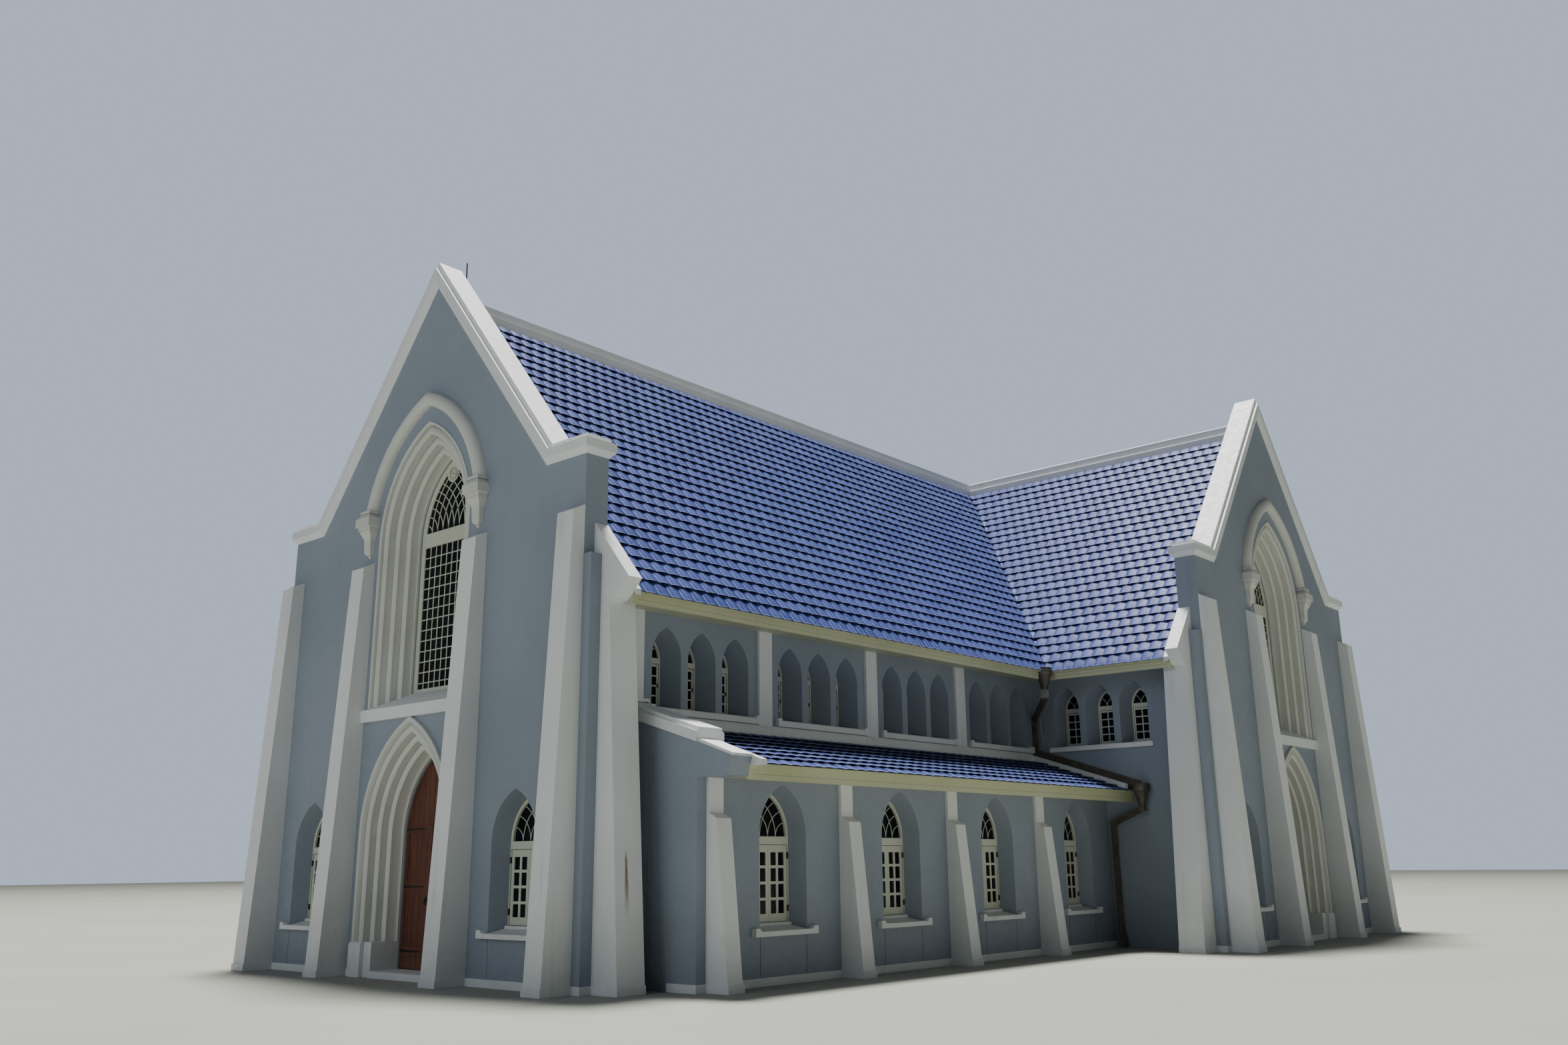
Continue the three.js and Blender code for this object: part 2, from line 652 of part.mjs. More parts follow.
// Sill band of the upper windows, in a wall's own frame
const upperBand = (from, to) =>
  box(from, to, -UPPER_BAND.out, 1, UPPER_BAND.bottom, UPPER_BAND.top);

// Nave wall with its arcade and clerestory, turning the corner into the transept's front wall
function naveWall() {
  const inner = NAVE_HALF - SIDE_THICK;
  const half = PILASTER_WIDE / 2;
  const bands = [...Array(BAYS).keys()].map((k) => {
    const from = PILASTER_FIRST + k * BAY + half + 130;
    const to = k === BAYS - 1 ? SIDE_FACE - 140 : PILASTER_FIRST + (k + 1) * BAY - half;
    return upperBand(from, to);
  });
  const sideBand = upperBand(TRANSEPT_WINDOW_X - 1130, TRANSEPT_WINDOW_X + 1130);
  const wall = join([
    box(inner, NAVE_HALF, GABLE_THICK, SIDE_FACE + SIDE_THICK, 0, WALL_TOP),
    box(inner, transeptInner, SIDE_FACE, SIDE_FACE + SIDE_THICK, 0, WALL_TOP),
    ...place(bands, rightWall(NAVE_HALF)),
    ...place([sideBand], sideWall),
  ]);
  const arcade = [...Array(BAYS).keys()].map((k) => {
    const arch = archOutline(ARCADE_HALF, ARCADE_OFFSET, ARCADE_SPRING, -PAST, BIG_STEPS);
    const centre = bayCentre(AISLE_FIRST_BUTTRESS, k);
    return alongX(shift(arch, centre), inner - PAST, NAVE_HALF + PAST);
  });
  return cut(wall, [
    ...arcade,
    ...place(naveUpper.map((at) => windowVoid(at, UPPER)), rightWall(NAVE_HALF)),
    ...place(transeptUpper.map((at) => windowVoid(at, UPPER)), sideWall),
  ]);
}

// Upper windows of one side: a sheet behind the walls carries their frames
function upperWindows() {
  const inner = NAVE_HALF - SIDE_THICK;
  const back = SIDE_FACE + SIDE_THICK;
  const low = UPPER.sillInner - 100;
  const high = 5100;
  const sheets = [
    box(
      inner - SHEET_THICK, inner - JOINT, PILASTER_FIRST + 300, back + SHEET_THICK, low, high,
    ),
    box(inner - SHEET_THICK, 6500, back + JOINT, back + SHEET_THICK, low, high),
  ];
  return join([
    ...sheets,
    ...place(naveUpper.map((at) => windowUnit(at, UPPER)), rightWall(NAVE_HALF)),
    ...place(transeptUpper.map((at) => windowUnit(at, UPPER)), sideWall),
  ]);
}

// Pilasters on the flashing that covers the aisle roof's top edge, and the kerb of the valley gutter
function clerestoryTrim() {
  const out = NAVE_HALF + PILASTER_OUT;
  const seat = (x) => aisleTop(x) + JOINT;
  const pilasters = [...Array(BAYS).keys()].map((k) => {
    const y = PILASTER_FIRST + k * BAY;
    const half = PILASTER_WIDE / 2;
    const low = k === 0 ? parapetTop(NAVE_HALF) + 200 + JOINT : 3700;
    return box(NAVE_HALF, out, y - half, y + half, low, SOFFIT_Z);
  });
  const flashing = alongY([
    [NAVE_HALF, seat(NAVE_HALF)], [3830, seat(3830)], [3800, 3600], [3765, 3690], [3735, 3735],
    [NAVE_HALF, 3745],
  ], AISLE_KERB_BACK + JOINT, VERGE_BACK - 10);
  const step = alongX([
    [AISLE_KERB_BACK + JOINT, 3700], [AISLE_KERB_BACK + 15, 3700], [AISLE_KERB_BACK + 15, 3945],
    [PILASTER_FIRST, 3945], [PILASTER_FIRST, 3900], [AISLE_KERB_BACK + JOINT, 3900],
  ], NAVE_HALF + JOINT, out - JOINT);
  const kerb = alongY([
    [NAVE_HALF, seat(NAVE_HALF) + 5], [AISLE_FASCIA_OUT, seat(AISLE_FASCIA_OUT)],
    [AISLE_FASCIA_OUT, aisleTop(AISLE_FASCIA_OUT) + VERGE_RISE],
    [NAVE_HALF, aisleTop(NAVE_HALF) + VERGE_RISE],
  ], VERGE_FRONT, VERGE_BACK);
  return join([...pilasters, flashing, step, kerb]);
}

const aisleCentres = [...Array(BAYS).keys()].map((k) => bayCentre(AISLE_FIRST_BUTTRESS, k));

// Aisle wall with its end wall, which rises as a parapet and ends in a kneeler
function aisleWall() {
  const inner = AISLE_FACE - AISLE_THICK;
  const side = box(
    inner, AISLE_FACE, AISLE_END_Y, SIDE_FACE, 0, aisleUnder(AISLE_FACE) - JOINT,
  );
  const end = alongY([
    [NAVE_HALF, 0], [AISLE_FACE, 0], [AISLE_FACE, AISLE_KNEELER_Z],
    [AISLE_KNEELER_X, AISLE_KNEELER_Z], [AISLE_TIP_X, AISLE_TIP_Z],
    [AISLE_PARAPET_X, AISLE_PARAPET_Z], [NAVE_HALF, parapetTop(NAVE_HALF)],
  ], AISLE_END_Y, AISLE_END_BACK);
  const voids = aisleCentres.map((at) => windowVoid(at, LOWER));
  return cut(join([side, end]), place(voids, rightWall(AISLE_FACE)));
}

// Coping of the aisle's end wall, the slab over the kneeler, and the kerb behind it along the tiles
function aisleCoping() {
  const layer = (low, high, from, to) => alongY([
    [NAVE_HALF, parapetTop(NAVE_HALF) + low], [AISLE_PARAPET_X, AISLE_PARAPET_Z + low],
    [AISLE_PARAPET_X, AISLE_PARAPET_Z + high], [NAVE_HALF, parapetTop(NAVE_HALF) + high],
  ], from, to);
  const slab = alongY([
    [AISLE_PARAPET_X - 1, AISLE_PARAPET_Z + 3 * JOINT], [AISLE_TIP_X + 15, AISLE_TIP_Z + JOINT - 5],
    [AISLE_TIP_X + 15, AISLE_TIP_Z + 30], [AISLE_PARAPET_X - 1, AISLE_PARAPET_Z + 45],
  ], AISLE_END_Y - 15, AISLE_END_BACK);
  const inner = AISLE_FASCIA_IN - JOINT;
  const outer = AISLE_FASCIA_OUT + JOINT;
  const kerb = alongY([
    [NAVE_HALF, aisleUnder(NAVE_HALF)], [inner, aisleUnder(inner)],
    [inner, aisleLip(inner)], [outer, aisleLip(outer)],
    [outer, AISLE_KERB_Z - 75], [AISLE_KERB_X, AISLE_KERB_Z - 75],
    [AISLE_KERB_X, AISLE_KERB_Z], [AISLE_PARAPET_X, AISLE_PARAPET_Z + 20],
    [NAVE_HALF, parapetTop(NAVE_HALF) + 20],
  ], AISLE_END_BACK + JOINT, AISLE_KERB_BACK);
  return join([
    layer(JOINT, 145, AISLE_END_Y - 60, AISLE_KERB_BACK),
    layer(144, 200, AISLE_END_Y - 20, AISLE_KERB_BACK - 40),
    slab, kerb,
  ]);
}

function aisleRoof() {
  const inner = AISLE_FASCIA_IN - JOINT;
  return alongY([
    [NAVE_HALF, aisleUnder(NAVE_HALF)], [inner, aisleUnder(inner)],
    [inner, aisleLip(inner)], [AISLE_EAVE_X, aisleLip(AISLE_EAVE_X)],
    [AISLE_EAVE_X, aisleTop(AISLE_EAVE_X)], [NAVE_HALF, aisleTop(NAVE_HALF)],
  ], AISLE_KERB_BACK + JOINT, SIDE_FACE);
}

function aisleEaves() {
  return alongY([
    [AISLE_FACE, AISLE_SOFFIT_Z], [AISLE_FASCIA_IN, AISLE_SOFFIT_Z],
    [AISLE_FASCIA_IN, AISLE_FASCIA_BOTTOM], [AISLE_FASCIA_OUT, AISLE_FASCIA_BOTTOM],
    [AISLE_FASCIA_OUT, aisleLip(AISLE_FASCIA_OUT) - JOINT],
    [AISLE_FASCIA_IN, aisleLip(AISLE_FASCIA_IN) - JOINT],
    [AISLE_FASCIA_IN, AISLE_SOFFIT_TOP], [AISLE_FACE, AISLE_SOFFIT_TOP],
  ], AISLE_END_BACK, SIDE_FACE);
}

function wallButtress(at, top) {
  const half = AISLE_BUTTRESS_WIDE / 2;
  const section = [
    [0, 0], [0, top], [-AISLE_PILASTER_OUT, top], [-AISLE_PILASTER_OUT, AISLE_BUTTRESS_WALL_Z],
    [-AISLE_BUTTRESS_HEAD, AISLE_BUTTRESS_FRONT_Z],
    [-AISLE_BUTTRESS_FOOT, 0],
  ];
  const out = AISLE_BUTTRESS_FOOT + PLINTH_OUT;
  return [
    alongX(section, at - half, at + half),
    box(at - half - PLINTH_OUT, at + half + PLINTH_OUT, -out, 0, 0, PLINTH_Z),
  ];
}

function aisleButtresses() {
  const pieces = [...Array(BAYS).keys()].flatMap((k) =>
    wallButtress(AISLE_FIRST_BUTTRESS + k * BAY, k === 0 ? AISLE_KNEELER_Z : AISLE_SOFFIT_Z));
  const base = box(AISLE_END_Y - PLINTH_OUT, SIDE_FACE, -PLINTH_OUT, 0, 0, PLINTH_Z);
  const endBase = box(
    NAVE_HALF + 1000, AISLE_FACE + 1, AISLE_END_Y - PLINTH_OUT, AISLE_END_Y, 0, PLINTH_Z,
  );
  return join([...place([...pieces, base], rightWall(AISLE_FACE)), endBase]);
}

function aisleWindows() {
  const inner = AISLE_THICK;
  const sheet = box(
    aisleCentres[0] - 450, aisleCentres[BAYS - 1] + 450, inner + JOINT, inner + SHEET_THICK,
    LOWER.sillInner - 100, 2640,
  );
  const units = aisleCentres.flatMap((at) =>
    [windowUnit(at, LOWER), sillSlope(at, LOWER), sillBlock(at, LOWER)]);
  return join(place([sheet, ...units], rightWall(AISLE_FACE)));
}

// Rear wall: the upper windows of the transept's front repeated in three bays
const rearCentres = [-TRANSEPT_WINDOW_X, 0, TRANSEPT_WINDOW_X];

function rearWallBody() {
  const wall = join([
    box(-transeptInner, transeptInner, REAR_FACE - SIDE_THICK, REAR_FACE, 0, WALL_TOP),
    ...place(rearCentres.map((at) => upperBand(at - 1130, at + 1130)), rearWall),
  ]);
  const voids = rearCentres.flatMap(trio).map((at) => windowVoid(at, UPPER));
  return cut(wall, place(voids, rearWall));
}

function rearWindows() {
  const reach = TRANSEPT_WINDOW_X + UPPER_SPACING + UPPER.outer;
  const sheet = box(
    -reach, reach, SIDE_THICK + JOINT, SIDE_THICK + SHEET_THICK, UPPER.sillInner - 100, 5100,
  );
  const units = rearCentres.flatMap(trio).map((at) => windowUnit(at, UPPER));
  return join(place([sheet, ...units], rearWall));
}

// Buttresses between the rear bays carry pilasters up to the eave
function rearButtresses() {
  const pieces = [-1, 1].flatMap((side) => wallButtress((side * TRANSEPT_WINDOW_X) / 2, SOFFIT_Z));
  const base = box(-transeptInner, transeptInner, -PLINTH_OUT, 0, 0, PLINTH_Z);
  return join(place([...pieces, base], rearWall));
}

// Main roofs: both slopes of a ridge as one slab, with the kerbs of the gables left free
function roofSection(at) {
  const inner = FASCIA_IN - JOINT;
  const half = (side) => [
    [at + side * EAVE_HALF, EAVE_Z], [at + side * EAVE_HALF, EAVE_Z - ROOF_LIP],
    [at + side * inner, roofLip(inner)], [at + side * inner, roofUnder(inner)],
  ];
  return [...half(-1), [at, roofUnder(0)], ...half(1).reverse(), [at, RIDGE_Z]];
}

// The valleys stand over the two diagonals of the crossing
function valleyWedge(tip, foot) {
  const wide = EAVE_HALF + PAST;
  return alongZ([
    [-wide, tip - wide], [0, tip], [wide, tip - wide], [wide, foot], [-wide, foot],
  ], EAVE_Z - 2 * ROOF_DROP, RIDGE_Z + PAST);
}

function naveRoof() {
  const low = roofUnder(EAVE_HALF) - PAST;
  const beside = GABLE_HALF - JOINT;
  const kerbEnd = KERB_BACK + JOINT;
  const far = EAVE_HALF + PAST;
  return cut(alongY(roofSection(0), PARAPET_THICK + JOINT, CROSSING_Y), [
    valleyWedge(CROSSING_Y - JOINT, CROSSING_Y + PAST),
    box(beside, far, 0, kerbEnd, low, RIDGE_Z),
    box(-far, -beside, 0, kerbEnd, low, RIDGE_Z),
    hopperNotch(), mirrorX(mergeVertices(hopperNotch())),
  ]);
}

function transeptRoof() {
  const low = roofUnder(EAVE_HALF) - PAST;
  const near = GABLE_HALF - JOINT;
  const far = EAVE_HALF + PAST;
  const kerbStart = TRANSEPT_FACE - KERB_BACK - JOINT;
  const end = TRANSEPT_FACE - PARAPET_THICK - JOINT;
  const notches = [
    box(kerbStart, end + PAST, CROSSING_Y - far, CROSSING_Y - near, low, RIDGE_Z),
    box(kerbStart, end + PAST, CROSSING_Y + near, CROSSING_Y + far, low, RIDGE_Z),
  ];
  return cut(alongX(roofSection(CROSSING_Y), -end, end), [
    valleyWedge(CROSSING_Y, CROSSING_Y - far),
    ...notches, ...notches.map((notch) => mirrorX(mergeVertices(notch))),
    hopperNotch(), mirrorX(mergeVertices(hopperNotch())),
  ]);
}

function ridgeCap() {
  const seat = (across) => roofTop(across) + JOINT;
  const section = (at) => [
    [at - CAP_WIDE, seat(CAP_WIDE)], [at, seat(0)], [at + CAP_WIDE, seat(CAP_WIDE)],
    [at + CAP_WIDE, CAP_LEDGE_Z - 20], [at + CAP_NARROW, CAP_LEDGE_Z],
    [at + CAP_NARROW, CAP_TOP_Z - 30], [at + CAP_NARROW / 2, CAP_TOP_Z],
    [at - CAP_NARROW / 2, CAP_TOP_Z], [at - CAP_NARROW, CAP_TOP_Z - 30],
    [at - CAP_NARROW, CAP_LEDGE_Z], [at - CAP_WIDE, CAP_LEDGE_Z - 20],
  ];
  const start = PARAPET_THICK + COPING_OUT + JOINT;
  const end = TRANSEPT_FACE - start;
  const both = join([
    alongY(section(0), start, CROSSING_Y),
    alongX(section(CROSSING_Y), -end, end),
  ]);
  return cut(both, [
    alongY([[-900, seat(900)], [900, seat(900)], [0, seat(0)]], 0, CROSSING_Y),
    alongX([
      [CROSSING_Y - 900, seat(900)], [CROSSING_Y + 900, seat(900)], [CROSSING_Y, seat(0)],
    ], -end - PAST, end + PAST),
  ]);
}

// Fascia and soffit: under the nave's eave and round the corner under the transept's
function sideEaves() {
  const profile = (at, sign) => [
    [at + sign * FASCIA_OUT, FASCIA_BOTTOM],
    [at + sign * FASCIA_OUT, roofLip(FASCIA_OUT) - JOINT],
    [at + sign * FASCIA_IN, roofLip(FASCIA_IN) - JOINT],
    [at + sign * FASCIA_IN, FASCIA_BOTTOM],
  ];
  const start = RETURN_BACK + JOINT;
  const past = GABLE_THICK + JOINT;
  const turn = CROSSING_Y - FASCIA_IN;
  const outer = CROSSING_Y - FASCIA_OUT;
  const eaves = join([
    alongY(profile(0, 1), start, turn),
    alongX(profile(CROSSING_Y, -1), FASCIA_IN, TRANSEPT_FACE - start),
    box(NAVE_HALF, FASCIA_IN + 1, past, SIDE_FACE, SOFFIT_Z, SOFFIT_TOP),
    box(GABLE_HALF, FASCIA_IN + 1, start, past + 1, SOFFIT_Z, SOFFIT_TOP),
    box(FASCIA_IN, TRANSEPT_FACE - past, outer + 40, SIDE_FACE, SOFFIT_Z, SOFFIT_TOP),
    box(
      TRANSEPT_FACE - past - 1, TRANSEPT_FACE - start, outer + 40, CROSSING_Y - GABLE_HALF,
      SOFFIT_Z, SOFFIT_TOP,
    ),
  ]);
  return cut(eaves, [hopperNotch()]);
}

function rearEaves() {
  const start = RETURN_BACK + JOINT;
  const past = GABLE_THICK + JOINT;
  const inside = CROSSING_Y + FASCIA_IN;
  const outside = CROSSING_Y + FASCIA_OUT;
  const beyond = (side) => {
    const near = side * (TRANSEPT_FACE - past - 1);
    const far = side * (TRANSEPT_FACE - start);
    return box(
      Math.min(near, far), Math.max(near, far), CROSSING_Y + GABLE_HALF, inside + 1,
      SOFFIT_Z, SOFFIT_TOP,
    );
  };
  return join([
    alongX([
      [outside, FASCIA_BOTTOM], [outside, roofLip(FASCIA_OUT) - JOINT],
      [inside, roofLip(FASCIA_IN) - JOINT], [inside, FASCIA_BOTTOM],
    ], -TRANSEPT_FACE + start, TRANSEPT_FACE - start),
    box(-TRANSEPT_FACE + past, TRANSEPT_FACE - past, REAR_FACE, inside + 1, SOFFIT_Z, SOFFIT_TOP),
    beyond(-1), beyond(1),
  ]);
}

// Room for the upper hopper where the eaves of nave and transept meet
function hopperNotch() {
  const [x, y] = UPPER_HOPPER;
  return box(
    x - HOPPER_NOTCH, x + HOPPER_NOTCH, y - HOPPER_NOTCH, y + HOPPER_NOTCH,
    FASCIA_BOTTOM - 100, EAVE_Z + 430,
  );
}

// Rainwater goods in the inner corner: hopper and square duct, valley gutter, second hopper, downpipe
function rainwater() {
  const square = [[0, 0], [1, 0], [1, 1], [0, 1]];
  const upright = (x, y, low, top, half) => box(x - half, x + half, y - half, y + half, low, top);
  const duct = (from, to) => {
    const run = Math.hypot(to[0] - from[0], to[1] - from[1]);
    const u = ((from[1] - to[1]) / run) * DUCT_HALF;
    const v = ((to[0] - from[0]) / run) * DUCT_HALF;
    const ring = ([x, y, z]) => [
      [x - u, y - v, z - DUCT_HALF], [x + u, y + v, z - DUCT_HALF],
      [x + u, y + v, z + DUCT_HALF], [x - u, y - v, z + DUCT_HALF],
    ];
    return loft([ring(from), ring(to)], square);
  };
  const hopper = ([x, y, top]) => {
    const ring = (reach, z) => [...Array(8).keys()].map((i) => {
      const angle = ((i + 0.5) * Math.PI) / 4;
      const far = reach / Math.cos(Math.PI / 8);
      return [x + far * Math.cos(angle), y + far * Math.sin(angle), z];
    });
    return loft(
      [ring(COUPLING_HALF, top - 440), ring(128, top - 158), ring(HOPPER_REACH, top - 150),
        ring(HOPPER_REACH, top)],
      ring(1, 0),
    );
  };
  const wall = SIDE_FACE - 4;
  const [upperX, upperY, upperTop] = UPPER_HOPPER;
  const cornerX = NAVE_HALF + 50;
  const cornerY = SIDE_FACE - 50;
  const upper = [
    hopper(UPPER_HOPPER),
    upright(upperX, upperY, upperTop - 635, upperTop - 435, COUPLING_HALF),
    duct([upperX, upperY, upperTop - 585], [cornerX, cornerY, 4440]),
    upright(cornerX, cornerY, aisleTop(cornerX) + 20, 4470, DUCT_HALF),
  ];
  const floorLine = (x) => aisleTop(x) + JOINT;
  const gutterEnd = 5990;
  const channel = (from, to, rise) => alongY([
    [NAVE_HALF + 4, floorLine(NAVE_HALF + 4)], [gutterEnd, floorLine(gutterEnd)],
    [gutterEnd, floorLine(gutterEnd) + rise], [NAVE_HALF + 4, floorLine(NAVE_HALF + 4) + rise],
  ], from, to);
  const gutter = [
    channel(VERGE_BACK + JOINT, wall, 25),
    channel(wall - 12, wall, 240),
  ];
  const [lowX, lowY, lowTop] = LOWER_HOPPER;
  const downX = 5385;
  const downY = 12365;
  const shoe = (shift, z) => [
    [downX + shift - DUCT_HALF, downY - shift - DUCT_HALF, z],
    [downX + shift + DUCT_HALF, downY - shift - DUCT_HALF, z],
    [downX + shift + DUCT_HALF, downY - shift + DUCT_HALF, z],
    [downX + shift - DUCT_HALF, downY - shift + DUCT_HALF, z],
  ];
  const lower = [
    hopper(LOWER_HOPPER),
    upright(lowX, lowY, lowTop - 520, lowTop - 435, COUPLING_HALF),
    duct([lowX, lowY, lowTop - 470], [downX, downY, 2300]),
    upright(downX, downY, 330, 2330, DUCT_HALF),
    loft([shoe(0, 332), shoe(70, 165)], square),
  ];
  return join([...upper, ...gutter, ...lower]);
}

// Floor inside the walls, also through the arcade and into the doorways
function floorSlab(walls) {
  const aisle = AISLE_FACE - AISLE_THICK;
  const inner = NAVE_HALF - SIDE_THICK;
  const door = GABLE_THICK - MOULDING_DEEP;
  const slab = join([
    box(-aisle, aisle, AISLE_END_BACK, SIDE_FACE, 0, FLOOR_Z),
    box(-inner, inner, GABLE_THICK, SIDE_FACE + SIDE_THICK + 1, 0, FLOOR_Z),
    box(-transeptInner, transeptInner, SIDE_FACE + SIDE_THICK, REAR_FACE - SIDE_THICK, 0, FLOOR_Z),
    box(-DOOR_HALF, DOOR_HALF, GABLE_THICK - door, GABLE_THICK + 1, 0, FLOOR_Z),
    box(
      -TRANSEPT_FACE + MOULDING_DEEP, TRANSEPT_FACE - MOULDING_DEEP,
      CROSSING_Y - DOOR_HALF, CROSSING_Y + DOOR_HALF, 0, FLOOR_Z,
    ),
  ]);
  return cut(slab, walls);
}

function lightningRod() {
  const y = PARAPET_THICK + COPING_OUT + 45;
  const rod = new THREE.CylinderGeometry(11, 11, 690, 8).rotateX(Math.PI / 2);
  rod.translate(0, y, CAP_TOP_Z + 345);
  const clip = box(-25, 25, PARAPET_THICK + COPING_OUT, y + 20, 11280, 11310);
  return join([rod, clip]);
}

const naveWallBody = naveWall();
const building = new THREE.Group();
building.add(gable('front', 0, 0, 0));
building.add(gable('right', TRANSEPT_FACE, CROSSING_Y, Math.PI / 2));
building.add(gable('left', -TRANSEPT_FACE, CROSSING_Y, -Math.PI / 2));

const sidePieces = {
  nave_wall: [naveWallBody, grey],
  upper_windows: [upperWindows(), cream],
  clerestory_trim: [clerestoryTrim(), white],
  aisle_wall: [aisleWall(), grey],
  aisle_coping: [aisleCoping(), white],
  aisle_roof: [aisleRoof(), tile],
  aisle_eaves: [aisleEaves(), cream],
  aisle_buttresses: [aisleButtresses(), white],
  aisle_windows: [aisleWindows(), cream],
  main_eaves: [sideEaves(), cream],
  rainwater_pipes: [rainwater(), bronze],
};
for (const [name, [geometry, finish]] of Object.entries(sidePieces)) {
  const body = geometry.index ? geometry : mergeVertices(geometry);
  building.add(named(`right_${name}`, body, finish));
  building.add(named(`left_${name}`, mirrorX(body), finish));
}

building.add(named('rear_wall', rearWallBody(), grey));
building.add(named('rear_windows', rearWindows(), cream));
building.add(named('rear_buttresses', rearButtresses(), white));
building.add(named('rear_eaves', rearEaves(), cream));
building.add(named('nave_roof', naveRoof(), tile));
building.add(named('transept_roof', transeptRoof(), tile));
building.add(named('ridge_cap', ridgeCap(), white));
building.add(named('floor_slab', floorSlab([naveWallBody, mirrorX(naveWallBody)]), screed));
building.add(named('lightning_rod', lightningRod(), bronze));
building.position.y = -CENTRE_Y;

const church = new THREE.Group();
church.add(building);

export default church;
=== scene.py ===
import math
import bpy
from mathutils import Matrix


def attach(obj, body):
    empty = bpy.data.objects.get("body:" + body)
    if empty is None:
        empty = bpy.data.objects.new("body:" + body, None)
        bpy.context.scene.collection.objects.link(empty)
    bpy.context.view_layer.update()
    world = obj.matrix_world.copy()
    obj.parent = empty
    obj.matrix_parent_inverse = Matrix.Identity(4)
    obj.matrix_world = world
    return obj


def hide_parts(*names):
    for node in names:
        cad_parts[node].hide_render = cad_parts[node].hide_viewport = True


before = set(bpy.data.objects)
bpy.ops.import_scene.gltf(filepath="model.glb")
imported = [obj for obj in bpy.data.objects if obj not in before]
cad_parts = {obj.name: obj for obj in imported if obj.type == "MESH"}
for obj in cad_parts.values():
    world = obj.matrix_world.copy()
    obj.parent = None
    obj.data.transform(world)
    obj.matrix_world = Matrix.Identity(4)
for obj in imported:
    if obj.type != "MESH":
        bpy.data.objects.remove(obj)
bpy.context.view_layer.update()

from types import SimpleNamespace

import bmesh
import bpy
import numpy as np
from mathutils import Matrix, Vector
from mathutils.geometry import tessellate_polygon

RNG = np.random.default_rng(11)

# Metres. Pieces are written with y from the front gable's face, and moved by SHIFT.
# An arch is given by how far its two centres lie past the middle, and by the height where it springs.
SHIFT = 10.1775
GABLE_HALF, GABLE_THICK, PARAPET_THICK = 4.0, 0.666, 0.415
NAVE_HALF, SIDE_THICK = 3.68, 0.44
TRANSEPT_FACE, CROSSING_Y = 7.61, 16.135
TRANSEPT_INNER = TRANSEPT_FACE - GABLE_THICK
SIDE_FACE, REAR_FACE = CROSSING_Y - NAVE_HALF, CROSSING_Y + NAVE_HALF
BAY, BAYS = 2.809, 4
SHOULDER_Z, SHOULDER_X, APEX_Z = 7.29, 3.1, 11.09
RAKE = (APEX_Z - SHOULDER_Z) / SHOULDER_X
EAVE_HALF, EAVE_Z = 4.59, 5.273
RIDGE_Z = EAVE_Z + RAKE * EAVE_HALF
ROOF_DROP, ROOF_LIP, JOINT = 0.095, 0.025, 0.0003
CAP_HALF, VERGE = 0.15, 0.5205
WINDOW_OUTER, WINDOW_INNER, GREAT_ARCH, HOOD_ARCH = 1.26, 0.775, (0.715, 6.87), (0.785, 6.87)
MOULDING_DEEP, WINDOW_SILL_Z = 0.48, 4.33
GLAZING_FRONT, GLAZING_BACK = 0.5, 0.56
ROSETTE_Z, ROSETTE_RADIUS = 7.93, 0.15
SILL_BAND_BOTTOM, SILL_BAND_TOP, SILL_BAND_OUT = 3.87, 4.06, 0.07
BUTTRESS_WIDE, BUTTRESS_MID = 0.358, 1.545
PIER_OUT, PIER_BACK, PIER_TOP = 0.1665, 0.1865, 5.8155
HOOD_INNER, HOOD_OUTER, HOOD_OUT, HOOD_FOOT_Z, CORBEL_X = 1.455, 1.69, 0.13, 7.42, 1.51
DOOR_HALF, PORTAL_OUTER, PORTAL_SPRING, PORTAL_BAND_OUT, PORTAL_BLOCK_Z = 0.7, 1.2, 2.11, 0.05, 0.51
PORTAL_ARCH = (DOOR_HALF, PORTAL_SPRING)
FLOOR_Z, PLINTH_Z = 0.1, 0.11
LOWER = SimpleNamespace(
    outer=0.5, inner=0.415, arch=(0.26, 1.985), sill=0.67, sill_inner=0.74, deep=0.265, thick=0.3,
    ring=0.05, transom=(1.871, 1.983), foot=0.816, panes=(0.925, 1.766), rows=4, rail=0.038, jamb=0.016,
    columns=((0.053, 0.172), (0.215, 0.34)), mullions=(-0.168, 0, 0.168), bar=0.01, leaves=2,
)
GABLE_LOWER = SimpleNamespace(**{
    **vars(LOWER), "thick": GABLE_THICK, "arch": (0.26, 1.945), "transom": (1.84, 1.945),
    "panes": (0.922, 1.735),
})
UPPER = SimpleNamespace(
    outer=0.3, inner=0.2, arch=(0.2, 4.6), sill=3.85, sill_inner=3.88, deep=0.35, thick=SIDE_THICK,
    ring=0.03, transom=(4.555, 4.64), foot=3.895, panes=(3.935, 4.513), rows=4, rail=0.022, jamb=0.022,
    columns=((0.011, 0.148),), mullions=(0,), bar=0.011, leaves=1,
)
PANEL_JOINT, SILL_BLOCK_Z, SILL_BLOCK_OUT = 0.487, 0.645, 0.085
UPPER_SPACING, UPPER_BAND, UPPER_BAND_HALF = 0.746, (3.748, 3.846, 0.07), 1.13
GABLE_WINDOW_X, TRANSEPT_WINDOW_X = 2.69, 5.19
PILASTER_WIDE, PILASTER_FIRST = 0.31, 1.262
ARCADE_HALF, ARCADE_ARCH = 1.05, (0.35, 1.93)
AISLE_FACE, AISLE_END_Y, AISLE_END_BACK, AISLE_FIRST = 5.213, 1.045, 1.42, 1.362
AISLE_EAVE_X, AISLE_EAVE_Z, AISLE_PITCH, AISLE_DROP = 5.86, 2.9, 0.3257, 0.095
AISLE_PARAPET_X, AISLE_PARAPET_Z, AISLE_PARAPET_PITCH = 5.247, 3.2, 0.315
AISLE_KNEELER, AISLE_TIP = (5.779, 2.735), (5.865, 2.988)
